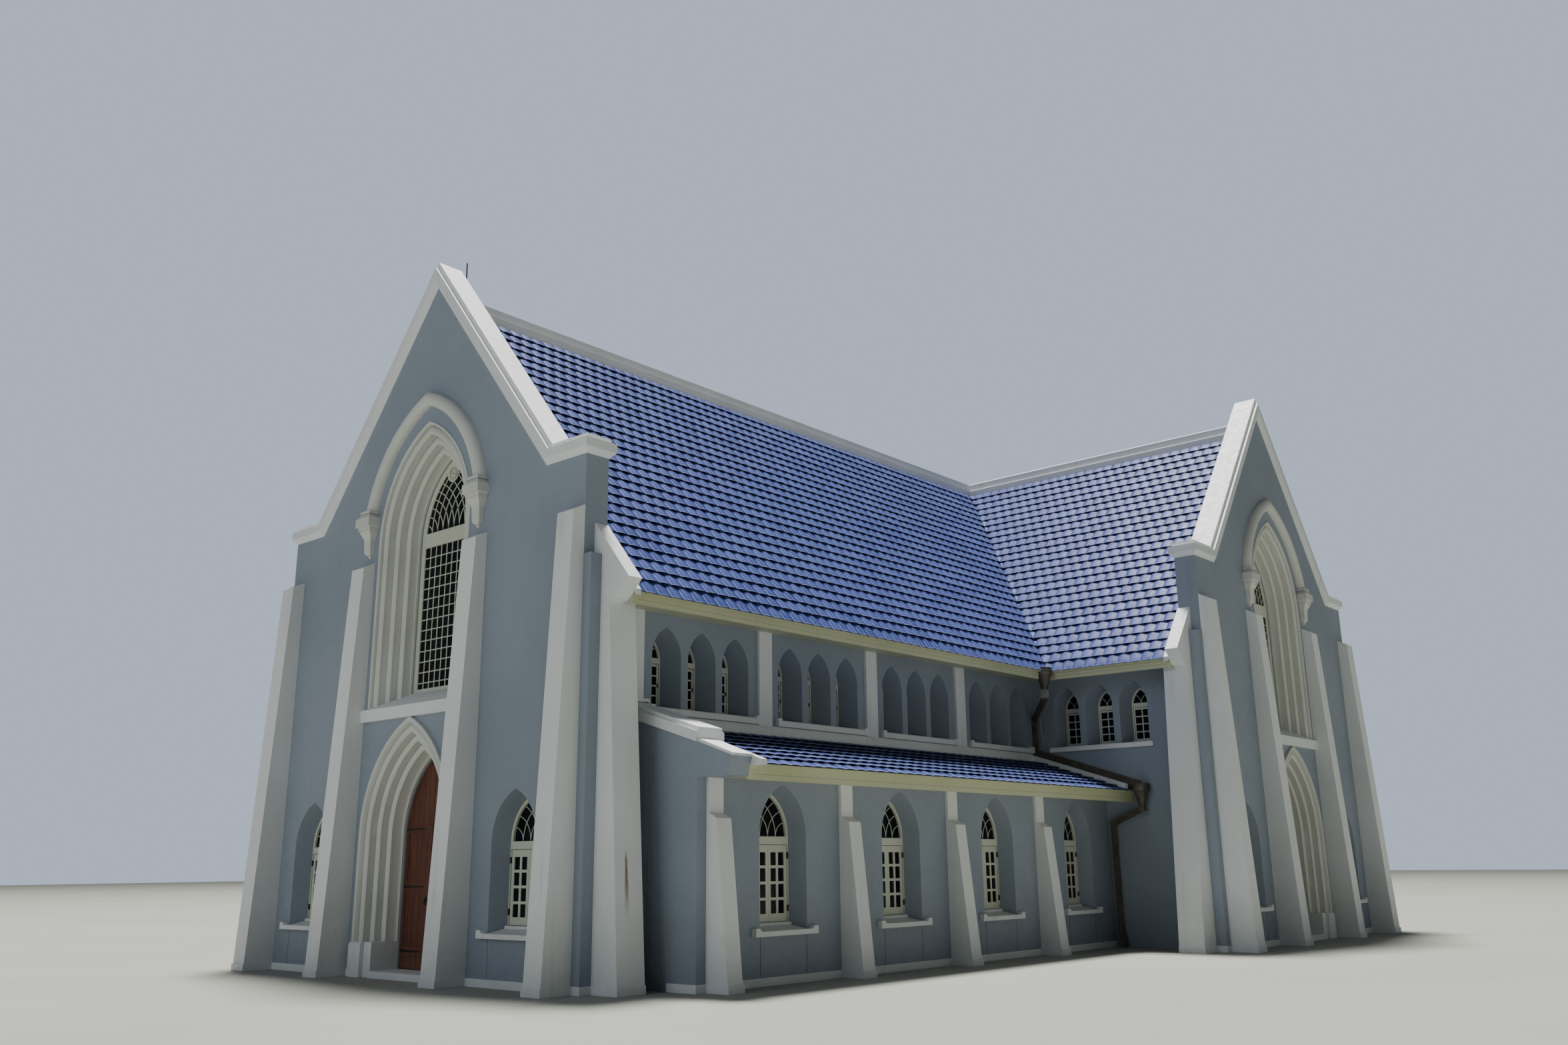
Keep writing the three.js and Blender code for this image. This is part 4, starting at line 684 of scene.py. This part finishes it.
def gable_mouldings():
    piece = Piece("mouldings_fine", "cream_stone", [MOULD, WHITE], "mouldings", smooth=40)
    deep, out = MOULDING_DEEP, -PORTAL_BAND_OUT
    low, top = SILL_BAND_BOTTOM, SILL_BAND_TOP
    great = [
        (WINDOW_OUTER, deep), (WINDOW_OUTER, -0.012), (1.235, -0.016), (1.215, -0.002), (1.207, 0.05),
        *orders(1.13, 0.13, 0.09, 0.075), (0.805, 0.40), (0.79, 0.44), (WINDOW_INNER, 0.446),
        (WINDOW_INNER, deep),
    ]
    portal = [
        (PORTAL_OUTER, deep), (PORTAL_OUTER, out + 0.006), (1.193, out), (1.137, out), (1.13, out + 0.006),
        (1.115, 0.02), *orders(1.04, 0.12, 0.06, 0.07), (0.735, 0.40), (0.715, 0.43), (DOOR_HALF, 0.44),
        (DOOR_HALF, deep),
    ]
    piece.add(moulding(great, *GREAT_ARCH, top))
    piece.add(moulding(portal, *PORTAL_ARCH, PORTAL_BLOCK_Z - 0.001))
    out = -SILL_BAND_OUT
    slope = [
        (0, top), (deep + 0.02, top), (deep + 0.02, WINDOW_SILL_Z + 0.01), (deep - 0.02, WINDOW_SILL_Z),
        (0.02, top + 0.045), (0, top + 0.03),
    ]
    band = [(out, low), (0.002, low), (0.002, top + 0.03), (out, top)]
    edge = BUTTRESS_MID - BUTTRESS_WIDE / 2
    piece.add(along_x(slope, -WINDOW_OUTER, WINDOW_OUTER), 1)
    piece.add(along_x(band, -edge, edge), 1)
    top = PORTAL_BLOCK_Z
    block = [(out, 0), (0.0, 0), (0.0, top), (out + 0.03, top), (out, top - 0.03)]
    for side in (-1, 1):
        piece.add(box(side * DOOR_HALF, side * PORTAL_OUTER, -0.001, deep, 0, top), 1)
        piece.add(along_x(block, side * (DOOR_HALF + 0.2), side * (PORTAL_OUTER + 0.03)), 1)
    piece.add(box(-DOOR_HALF - 0.001, DOOR_HALF + 0.001, -0.04, deep, 0, FLOOR_Z), 1)
    return piece


def gable_hood():
    """Hood mould on two corbels: drop, curved console, collar, block, grooved neck and cap."""
    piece = Piece("hood_fine", "white_stone", [MOULD, LINE], "hood_mould", smooth=40, bevel=0.004)
    middle, reach = (HOOD_INNER + HOOD_OUTER) / 2, (HOOD_OUTER - HOOD_INNER) / 2
    turn = [math.pi * i / 12 for i in range(13)]
    profile = [(middle + reach * math.cos(a), -HOOD_OUT * math.sin(a) ** 0.8) for a in turn]
    profile += [(HOOD_INNER, 0.003), (HOOD_OUTER, 0.003)]
    piece.add(moulding(profile, *HOOD_ARCH, HOOD_FOOT_Z - 0.004))
    parts = (
        ((0.012, 0.012, 6.62), (0.026, 0.027, 6.635), (0.033, 0.034, 6.658), (0.03, 0.03, 6.672)),
        ((0.044, 0.046, 6.672), (0.05, 0.052, 6.68), (0.078, 0.072, 6.7), (0.092, 0.082, 6.735),
         (0.096, 0.085, 6.8), (0.098, 0.09, 6.92), (0.107, 0.098, 6.96), (0.119, 0.108, 6.99),
         (0.132, 0.126, 7.02), (0.147, 0.145, 7.05), (0.154, 0.152, 7.09)),
        ((0.17, 0.17, 7.09), (0.17, 0.17, 7.138), (0.19, 0.192, 7.146), (0.198, 0.206, 7.15)),
        ((0.204, 0.213, 7.149), (0.204, 0.213, 7.298), (0.198, 0.207, 7.303), (0.152, 0.182, 7.33),
         (0.15, 0.18, 7.358)),
        ((0.142, 0.173, 7.352), (0.142, 0.173, 7.37)),
        ((0.14, 0.171, 7.366), (0.14, 0.171, 7.42), (0.136, 0.167, 7.424)),
    )
    # The grooved neck takes the near-black line finish as painted shade in the groove.
    neck = parts[4]
    for x in (-CORBEL_X, CORBEL_X):
        for part in parts:
            rings = [[(*p, z) for p in rectangle(x - half, x + half, 0.003, -out)] for half, out, z in part]
            piece.add(loft(rings), 1 if part is neck else 0)
    return piece


def circle(radius):
    return [(radius * math.cos(a), ROSETTE_Z + radius * math.sin(a)) for a in TURN]


def rosette(frames, y0, y1):
    """Round boss of the tracery: a pierced disc with a rim, sixteen rays and a ring in the middle."""
    corners = [(0.052, -0.003), (0.1115, -0.0125), (0.124, 0), (0.1115, 0.0125), (0.052, 0.003)]
    rays = []
    for k in range(16):
        c, s = math.cos(math.pi * (k + 0.5) / 8), math.sin(math.pi * (k + 0.5) / 8)
        rays.append([(u * c - v * s, ROSETTE_Z + u * s + v * c) for u, v in corners])
    frames.add(prism(circle(ROSETTE_RADIUS), y0 + 0.006, y1, rays + [circle(0.02)]))
    for outer, inner, out in ((ROSETTE_RADIUS, ROSETTE_RADIUS - 0.014, 0.0), (0.04, 0.024, -0.002)):
        frames.add(prism(circle(outer), y0 + out, y1, [circle(inner)]))


def great_window():
    """Frame, transom, interlacing tracery with its boss, rectangular grid and glass."""
    frames = Piece("great_frames", "cream_frames", [CREAM], "great_window", bevel=0.002)
    half, low, high = 0.672, 6.745, 6.99
    y0, y1, foot = GLAZING_FRONT, GLAZING_BACK, WINDOW_SILL_Z + 0.06
    outer = arch_line(WINDOW_INNER, *GREAT_ARCH, WINDOW_SILL_Z)
    frames.add(prism(outer, y0, y1, [arch_line(half, *GREAT_ARCH, foot)]))
    frames.add(box(-half - 0.01, half + 0.01, y0 - 0.004, y1, low, high))
    mullions = [0.151 * (k - 3.5) for k in range(8)]
    tracery(frames.add, 0.0, half, *GREAT_ARCH, high, mullions, 0.015, y0 + 0.012,
            (ROSETTE_Z, ROSETTE_RADIUS - 0.006))
    rosette(frames, y0 - 0.002, y0 + 0.022)
    for m in mullions:
        frames.add(box(m - 0.009, m + 0.009, y0 + 0.011, y0 + 0.022, foot, low))
    for z in (low - 0.1735 * k for k in range(1, 14)):
        frames.add(box(-half, half, y0 + 0.012, y0 + 0.022, z - 0.008, z + 0.008))
    panes = Piece("great_glass", "cream_frames", [GLASS])
    pane = arch_line(WINDOW_INNER - 0.02, *GREAT_ARCH, WINDOW_SILL_Z + 0.02)
    panes.add(prism(pane, y0 + 0.02, y0 + 0.024))
    return frames, panes


def gable_doors():
    """Two leaves of upright boards with rails, strap hinges and a ring handle each."""
    piece = Piece("doors_fine", "door_timber", [TIMBER, IRON], "doors", bevel=0.003)
    y0, half, boards = GLAZING_FRONT, DOOR_HALF - 0.002, 5
    radius = half + DOOR_HALF
    top = lambda x: PORTAL_SPRING + math.sqrt(max(0.0, radius ** 2 - (abs(x) + DOOR_HALF) ** 2))
    for side in (-1, 1):
        for k in range(boards):
            a = 0.004 + (half - 0.004) * k / boards
            b = 0.004 + (half - 0.004) * (k + 1) / boards - 0.005
            foot = FLOOR_Z + 0.008
            head = [a + (b - a) * t for t in (1, 0.75, 0.5, 0.25, 0)]
            outline = [(a, foot), (b, foot)] + [(x, top(x) - 0.004) for x in head]
            piece.add(prism([(side * x, z) for x, z in outline], y0 + 0.012, GLAZING_BACK))
        for z, tall in ((0.3, 0.13), (1.25, 0.13), (2.12, 0.12)):
            piece.add(box(side * 0.006, side * (half - 0.012), y0, y0 + 0.02, z, z + tall))
            strap = [(0.01, 0.045), (0.5, 0.055), (0.56, 0.065), (0.5, 0.075), (0.01, 0.085)]
            piece.add(prism([(side * (half - u), z + v) for u, v in strap], y0 - 0.007, y0 + 0.001), 1)
        for x in (0.012, half - 0.07):
            piece.add(box(side * x, side * (x + 0.06), y0 + 0.002, y0 + 0.02, FLOOR_Z + 0.01, 2.3))
        plate = [(side * (0.085 + 0.035 * math.cos(a)), 1.12 + 0.05 * math.sin(a)) for a in TURN[::2]]
        piece.add(prism(plate, y0 - 0.007, y0 + 0.012), 1)
        hoop = [(side * 0.085 + 0.038 * math.cos(a), y0 - 0.016, 1.09 + 0.038 * math.sin(a))
                for a in TURN[::2]]
        piece.add(tube(hoop + hoop[:1], 0.006), 1)
    return piece


def build_gables():
    pieces = [gable_wall(), gable_mouldings(), gable_hood(), *great_window(), gable_doors()]
    pieces += windows("small_", "lower_windows", GABLE_LOWER, ((-GABLE_WINDOW_X, GABLE_WINDOW_X), None))
    make_all(pieces, GABLES)


def pierced(piece, outline, w, centres, matrix, extra=()):
    """Wall with the windows' splayed reveals, and further openings straight through."""
    outer, inner = window_rings(centres, w)
    piece.add(walling([outline, *outer, *extra], [outline, *inner, *extra], 0, w.deep), 0, matrix)
    piece.add(prism(outline, w.deep, w.thick, [*inner, *extra]), 0, matrix)


def upper_band(piece, start, end, matrix, centres, blocks=False):
    """Sill band of a bay, with an end block at both ends or without, and its windows' sloping sills."""
    low, high, out = UPPER_BAND
    section = [(-out, low), (0.001, low), (0.001, high), (-out + 0.012, high), (-out, high - 0.012)]
    piece.add(along_x(section, start, end), 1, matrix)
    far, foot = -out - 0.006, low - 0.004
    block = [(far, foot), (0.001, foot), (0.001, high + 0.04), (far, high + 0.03)]
    for x in (start - 0.002, end - 0.088) if blocks else ():
        piece.add(along_x(block, x, x + 0.09), 1, matrix)
    deep = UPPER.deep
    for at in centres:
        slope = ((-0.002, 0.3, high + 0.004), (deep - 0.03, splay(UPPER, deep - 0.03), 3.872))
        piece.add(loft([level(at, half, y, z - 0.05, z) for y, half, z in slope]), 1, matrix)
        step = ((deep - 0.035, 3.886), (deep + 0.012, 3.889))
        piece.add(loft([level(at, splay(UPPER, y), y, 3.84, z) for y, z in step]), 1, matrix)


def centred_band(piece, middle, matrix):
    upper_band(piece, middle - UPPER_BAND_HALF, middle + UPPER_BAND_HALF, matrix, trio(middle))


def nave_side():
    """Clerestory wall over the arcade, the transept's side wall, and their windows."""
    wall = Piece("nave_wall_fine", "grey_render", [WALL, WHITE], "nave_wall")
    arch = arch_line(ARCADE_HALF, *ARCADE_ARCH, 0.02)
    arcade = [moved(arch, at) for at in AISLE_CENTRES]
    across = trio(TRANSEPT_WINDOW_X)
    outline = lambda start, end: rectangle(start, end, 0, WALL_TOP)
    pierced(wall, outline(GABLE_THICK, SIDE_FACE + 0.002), UPPER, NAVE_UPPER, NAVE_WALL, arcade)
    pierced(wall, outline(NAVE_HALF - SIDE_THICK, TRANSEPT_INNER), UPPER, across, SIDE_WALL)
    half = PILASTER_WIDE / 2
    for k in range(BAYS):
        start = PILASTER_FIRST + k * BAY + half
        end = SIDE_FACE - 0.14 if k == BAYS - 1 else start + BAY - 2 * half
        upper_band(wall, start + 0.13, end, NAVE_WALL, NAVE_UPPER[3 * k:3 * k + 3], True)
    centred_band(wall, TRANSEPT_WINDOW_X, SIDE_WALL)
    return wall, *windows("upper_", "upper_windows", UPPER, (NAVE_UPPER, NAVE_WALL), (across, SIDE_WALL))


def aisle_side():
    """Aisle wall with its windows and sills, and the end wall with its raking parapet."""
    wall = Piece("aisle_wall_fine", "grey_render", [WALL, LINE], "aisle_wall")
    outline = rectangle(AISLE_END_Y + 0.3, SIDE_FACE, 0, AISLE_WALL_TOP)
    pierced(wall, outline, LOWER, AISLE_CENTRES, AISLE_WALL)
    parapet = AISLE_PARAPET_Z + AISLE_PARAPET_PITCH * (AISLE_PARAPET_X - NAVE_HALF)
    end_wall = [
        (NAVE_HALF, 0), (AISLE_FACE, 0), (AISLE_FACE, AISLE_KNEELER[1]), AISLE_KNEELER, AISLE_TIP,
        (AISLE_PARAPET_X, AISLE_PARAPET_Z), (NAVE_HALF, parapet),
    ]
    wall.add(prism(end_wall, AISLE_END_Y, AISLE_END_BACK))
    # Two thin grooves at the junction with the return buttress, near-black as painted shadow lines.
    for x in (4.28, 4.34):
        groove = box(x - 0.002, x + 0.002, AISLE_END_Y - 0.0012, AISLE_END_Y + 0.001, PLINTH_Z + 0.001, 3.1)
        wall.add(groove, 1)
    for x in (at + joint for at in AISLE_CENTRES for joint in (-PANEL_JOINT, PANEL_JOINT)):
        wall.add(box(x - 0.004, x + 0.004, -0.0012, 0.001, PLINTH_Z, SILL_BLOCK_Z), 1, AISLE_WALL)
    return wall, *windows("aisle_", "aisle_windows", LOWER, (AISLE_CENTRES, AISLE_WALL))


def build_sides():
    make_all([*nave_side(), *aisle_side(), rainwater()], SIDES)
    wall = Piece("wall_fine", "grey_render", [WALL, WHITE], "wall")
    middles = (-TRANSEPT_WINDOW_X, 0, TRANSEPT_WINDOW_X)
    centres = [at for middle in middles for at in trio(middle)]
    pierced(wall, rectangle(-TRANSEPT_INNER, TRANSEPT_INNER, 0, WALL_TOP), UPPER, centres, REAR_WALL)
    for middle in middles:
        centred_band(wall, middle, REAR_WALL)
    make_all([wall, *windows("", "windows", UPPER, (centres, REAR_WALL))], {"rear_": HERE})


def rainwater():
    """Eight-sided hoppers, grooved square ducts, and the gutter at the foot of the transept's wall."""
    piece = Piece("pipes", "bronze_metal", [BRONZE, LEAD, COUPLING], "rainwater_pipes", smooth=50)

    def hopper(x, y, top):
        turns = [math.pi * (i + 0.5) / 4 for i in range(8)]
        steps = (
            (0.05, 0.44), (0.058, 0.43), (0.122, 0.172), (0.128, 0.16), (0.146, 0.156), (0.152, 0.15),
            (0.152, 0.02), (0.157, 0.016), (0.157, 0.0), (0.144, 0.0), (0.14, 0.03),
        )
        rings = [(reach / math.cos(math.pi / 8), top - drop) for reach, drop in steps]
        piece.add(loft([[(x + r * math.cos(a), y + r * math.sin(a), z) for a in turns] for r, z in rings]))

    def upright(x, y, low, top, half, look=0):
        piece.add(box(x - half, x + half, y - half, y + half, low, top), look)

    duct = lambda a, b: piece.add(square_duct(a, b))
    wall = SIDE_FACE - 0.004
    corner = (NAVE_HALF + 0.05, SIDE_FACE - 0.05)
    x, y, top = UPPER_HOPPER
    hopper(x, y, top)
    upright(x, y, top - 0.6, top - 0.435, COUPLING_HALF, 2)
    upright(x, y, top - 0.64, top - 0.58, DUCT_HALF + 0.003)
    duct((x, y, top - 0.59), (*corner, 4.44))
    duct((*corner, 4.45), (*corner, aisle_top(corner[0]) + 0.02))
    upright(*corner, 4.39, 4.488, DUCT_HALF + 0.0035)
    piece.add(tube([(3.815, SIDE_FACE - 0.006, 4.608), (3.882, SIDE_FACE - 0.006, 3.863)], 0.013), 1)
    line = lambda x, rise=0.0: (x, aisle_top(x) + JOINT + rise)
    start, end = NAVE_HALF + 0.004, 5.99
    for y0, y1, rise in ((12.25 + JOINT, wall - 0.001, 0.025), (wall - 0.012, wall, 0.24)):
        section = [line(start), line(end), line(end, rise), line(start, rise)]
        piece.add(loft([[(x, y, z) for x, z in section] for y in (y0, y1)]))
    rim = [line(x, rise) for x, rise in ((3.79, 0.243), (6.012, 0.243), (6.02, 0.235), (6.02, 0.2))]
    piece.add(tube([(x, wall - 0.014, z) for x, z in rim], 0.008), 1)
    x, y, top = LOWER_HOPPER
    hopper(x, y, top)
    upright(x, y, top - 0.525, top - 0.435, COUPLING_HALF)
    duct((x, y, top - 0.475), (*DOWNPIPE, 2.3))
    duct((*DOWNPIPE, 2.31), (*DOWNPIPE, 0.33))
    upright(*DOWNPIPE, 2.25, 2.348, DUCT_HALF + 0.0035)
    x, y = DOWNPIPE
    corners = rectangle(-SHOE_HALF, SHOE_HALF, -SHOE_HALF, SHOE_HALF)
    piece.add(loft([[(x + kick + u, y - kick + v, z) for u, v in corners]
                    for kick, z in ((0, 0.36), (0, 0.33), (0.07, 0.165), (0.07, 0.012))]))
    for z in (1.95, 1.2, 0.5):
        upright(x, y, z - 0.015, z + 0.015, DUCT_HALF + 0.004)
        piece.add(box(x - 0.018, x + 0.018, y, wall + 0.004, z - 0.01, z + 0.01))
    return piece


def eave_edges():
    """Painted boards round the roofs' edges, and the joint line along each fascia."""
    piece = Piece("eave_edges", "cream_frames", [FASCIA, SEAM])

    def run(face, edge, top, line_z, place, start, end):
        low, high = ROOF_LIP + 0.002, 0.0015
        face += 0.001
        ends = [(x, top(x)) for x in (face, edge)]
        board = [(x, z - low) for x, z in ends] + [(x, z + high) for x, z in ends[::-1]]
        seam = rectangle(face - 0.002, face - 0.0002, line_z, line_z + 0.004)
        for look, section in enumerate((board, seam)):
            piece.add(loft([[place(x, along, z) for x, z in section] for along in (start, end)]), look)

    main = (FASCIA_OUT, EAVE_HALF + 0.0022, roof_top, FASCIA_LINE_Z)
    aisle = (AISLE_FASCIA_OUT, AISLE_EAVE_X + 0.0022, aisle_top, AISLE_FASCIA_LINE_Z)
    far = TRANSEPT_FACE - VERGE
    for side in (1, -1):
        run(*main, lambda d, s, z: (side * d, s, z), VERGE, UPPER_HOPPER[1] - HOPPER_NOTCH)
        run(*main, lambda d, s, z: (side * s, CROSSING_Y - d, z), UPPER_HOPPER[0] + HOPPER_NOTCH, far)
        run(*aisle, lambda d, s, z: (side * d, s, z), AISLE_VERGE, SIDE_FACE - 0.001)
    run(*main, lambda d, s, z: (s, CROSSING_Y + d, z), -far, far)
    piece.make()


def tiles(name, finish, ridge, down, pitch, lowest, courses, start, low, high):
    """Courses of interlocking tiles on one slope, from a point of the ridge line down.

    lowest is the slope distance of the lowest edge, start has the first tile's left edge in odd and even
    courses, and low and high give the ends of a course at a distance from the ridge.
    """
    cos = 1 / math.hypot(1, pitch)
    sin = pitch * cos
    down, ridge = (np.array(v, float) for v in (down, ridge))
    along = np.cross((0, 0, 1), down)
    normal = down * sin + np.array((0, 0, cos))
    fall = down * cos - np.array((0, 0, sin))
    share, wave = (np.array(v) for v in zip(*TILE_WAVE))
    count = len(share)
    highest = (CAP_HALF + 0.014) / cos if pitch > 1 else 0.0
    points, faces, marks = [], [], []
    for n in range(courses):
        bottom = lowest - TILE_GAUGE * n
        first = start[n % 2]
        edges = [(low(s * cos), high(s * cos)) for s in (bottom, bottom - TILE_GAUGE)]
        k0 = math.floor((min(a for a, _ in edges) - first) / TILE_WIDE)
        k1 = math.ceil((max(b for _, b in edges) - first) / TILE_WIDE)
        for k in range(k0, k1):
            left = first + k * TILE_WIDE
            slip, tilt = RNG.normal(0, 0.0012, 2)
            if RNG.random() < 0.006:
                slip += 0.018
            tone = float(np.clip(RNG.normal(0.5, 0.24), 0, 1))
            grid = []
            for where, drop, _ in TILE_ROWS:
                s = max(highest, bottom - TILE_GAUGE * (1 - where) + slip)
                u = np.clip(left + share * TILE_WIDE, low(s * cos), high(s * cos))
                lift = (TILE_LIFT if n else 0.006) * where
                grid.append((u, s, wave + lift + tilt * share + 0.005 - drop))
            if grid[2][1] - grid[0][1] < 0.02 or all(np.ptp(u) < 0.012 for u, _, _ in grid[1:3]):
                continue
            base = len(points) * count
            for (u, s, h), (_, _, mark) in zip(grid, TILE_ROWS):
                points.append(ridge + np.outer(u, along) + fall * s + np.outer(h, normal))
                marks.append(np.stack(np.broadcast_arrays(tone, share, mark)))
            for r in range(len(TILE_ROWS) - 1):
                for p in range(base + r * count, base + r * count + count - 1):
                    faces.append((p, p + count, p + count + 1, p + 1))
    mesh = bpy.data.meshes.new(name)
    points = np.concatenate(points)
    points[:, 1] -= SHIFT
    mesh.from_pydata(points.tolist(), [], faces)
    mesh.materials.append(finish)
    for key, values in zip(TILE_LAYERS, np.hstack(marks)):
        layer = mesh.attributes.new(key, "FLOAT", "POINT")
        layer.data.foreach_set("value", values.astype(np.float32))
    shown(mesh, 38)


def build_tiles():
    lowest = EAVE_HALF * math.hypot(1, RAKE) + TILE_OUT
    near = lambda d: PARAPET_THICK + 0.006 if d < GABLE_HALF - 0.004 else TILE_VERGE
    far = lambda d: TRANSEPT_FACE - near(d)
    nave_end = lambda d: CROSSING_Y - d - VALLEY_GAP
    valley = lambda d: d + VALLEY_GAP
    other = lambda ends: [lambda d, end=end: -end(d) for end in ends[::-1]]
    main = (RAKE, lowest, ROOF_COURSES)

    def both_sides(name, top, slope, starts, ends):
        for side, label, span in ((1, "right", ends), (-1, "left", other(ends))):
            start = [side * s for s in starts]
            tiles(f"{name}_tiles_{label}", TILE_X, (0, 0, top), (side, 0, 0), *slope, start, *span)

    both_sides("nave", RIDGE_Z, main, (0.881, 0.768), (near, nave_end))
    ridge = (0, CROSSING_Y, RIDGE_Z)
    for label, ends in (("right", (valley, far)), ("left", other((valley, far)))):
        tiles("transept_tiles_" + label, TILE_Y, ridge, (0, -1, 0), *main, (0.06, 0.18), *ends)
    tiles("transept_tiles_rear", TILE_Y, ridge, (0, 1, 0), *main, (0.0, 0.12), lambda d: -far(d), far)
    lowest = AISLE_EAVE_X * math.hypot(1, AISLE_PITCH) + TILE_OUT
    both_sides("aisle", aisle_top(0), (AISLE_PITCH, lowest, AISLE_COURSES), (1.7, 1.58),
               [lambda d, end=end: end for end in AISLE_TILE_ENDS])
    lining = Piece("valley_lining", "blue_tiles", [LEAD])
    wing, low, high = 0.03, 0.004, 0.008
    for side in (-1, 1):
        rings = []
        for d in (CAP_HALF, EAVE_HALF - 0.02):
            x, y, z = side * d, CROSSING_Y - d, roof_top(d)
            out = x + side * wing
            rings.append([(x, y, z + low), (out, y, z + low), (out, y, z + high), (x, y, z + high),
                          (x, y - wing, z + high), (x, y - wing, z + low)])
        lining.add(loft(rings))
    lining.make()


def dress_nodes():
    """Finish and edge width for the nodes that no piece replaces, by a word of their names."""
    looks = {
        "coping": (WHITE, 0.008), "buttresses": (WHITE, 0.01), "trim": (WHITE, 0.006), "cap": (WHITE, 0.008),
        "eaves": (FASCIA, 0.004), "roof": (UNDERLAY_SHADE, 0), "slab": (STONE, 0), "rod": (IRON, 0),
    }
    for name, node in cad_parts.items():
        if node.hide_render:
            continue
        finish, width = next(look for word, look in looks.items() if word in name.split("_"))
        node.data.materials.clear()
        node.data.materials.append(finish)
        if width:
            soften(node, width)


def build_stage():
    """Plain pale floor, dim room light with a brighter backdrop, a high key and two soft fills."""
    size = 160
    mesh = bpy.data.meshes.new("stage_floor")
    mesh.from_pydata([(x, y, -0.002) for x, y in rectangle(-size, size, -size, size)], [], [(0, 1, 2, 3)])
    f = Finish("stage_paint")
    tone = f.mix(f.span(f.noise(0.2), 0.3, 0.7), (0.275, 0.28, 0.25, 1), (0.3, 0.305, 0.27, 1))
    mesh.materials.append(f.done(tone, 0.9))
    floor = placed("stage_floor", mesh)
    world = having(bpy.data.worlds.new("studio"), use_nodes=True)
    bpy.context.scene.world = world
    tree = world.node_tree
    room, backdrop = tree.nodes["Background"], tree.nodes.new("ShaderNodeBackground")
    for node, *light in ((room, (0.84, 0.90, 1.0, 1), 0.165), (backdrop, (0.70, 0.82, 1.0, 1), 0.7)):
        for key, value in zip(("Color", "Strength"), light):
            node.inputs[key].default_value = value
    seen = tree.nodes.new("ShaderNodeLightPath").outputs["Is Camera Ray"]
    both = tree.nodes.new("ShaderNodeMixShader")
    for socket, value in zip(both.inputs, (seen, room.outputs[0], backdrop.outputs[0])):
        tree.links.new(value, socket)
    tree.links.new(both.outputs[0], tree.nodes["World Output"].inputs["Surface"])

    def area(name, place, target, size, power, colour):
        light = bpy.data.lights.new(name, "AREA")
        having(light, shape="DISK", size=size, energy=power, color=colour)
        aim = (Vector(target) - Vector(place)).to_track_quat("-Z", "Y").to_euler()
        placed(name, light, location=place, rotation_euler=aim)

    sun = Vector((-0.148, 0.093, 0.985)).normalized() * 140
    area("key_light", Vector((2, 0, 6)) + sun, (2, 0, 6), 28, 600000, (1.0, 0.98, 0.95))
    area("front_fill", (2, -50, 18), (0, -8, 4), 22, 3000, (0.84, 0.92, 1.0))
    area("side_fill", (27, 2, 4), (5, 2, 3), 16, 120, (0.86, 1.0, 0.62))


def build_camera():
    view = Matrix.Translation((17.645, -21.5735, 1.607))
    for degrees, axis in ((41.095, "Z"), (90 + 14.755, "X"), (-0.587, "Z")):
        view = view @ Matrix.Rotation(math.radians(degrees), 4, axis)
    lens = having(bpy.data.cameras.new("view"), lens=29.74, sensor_width=36, clip_end=600)
    bpy.context.scene.camera = placed("view", lens, matrix_world=view)


build_camera()
build_gables()
build_sides()
build_tiles()
eave_edges()
dress_nodes()
build_stage()
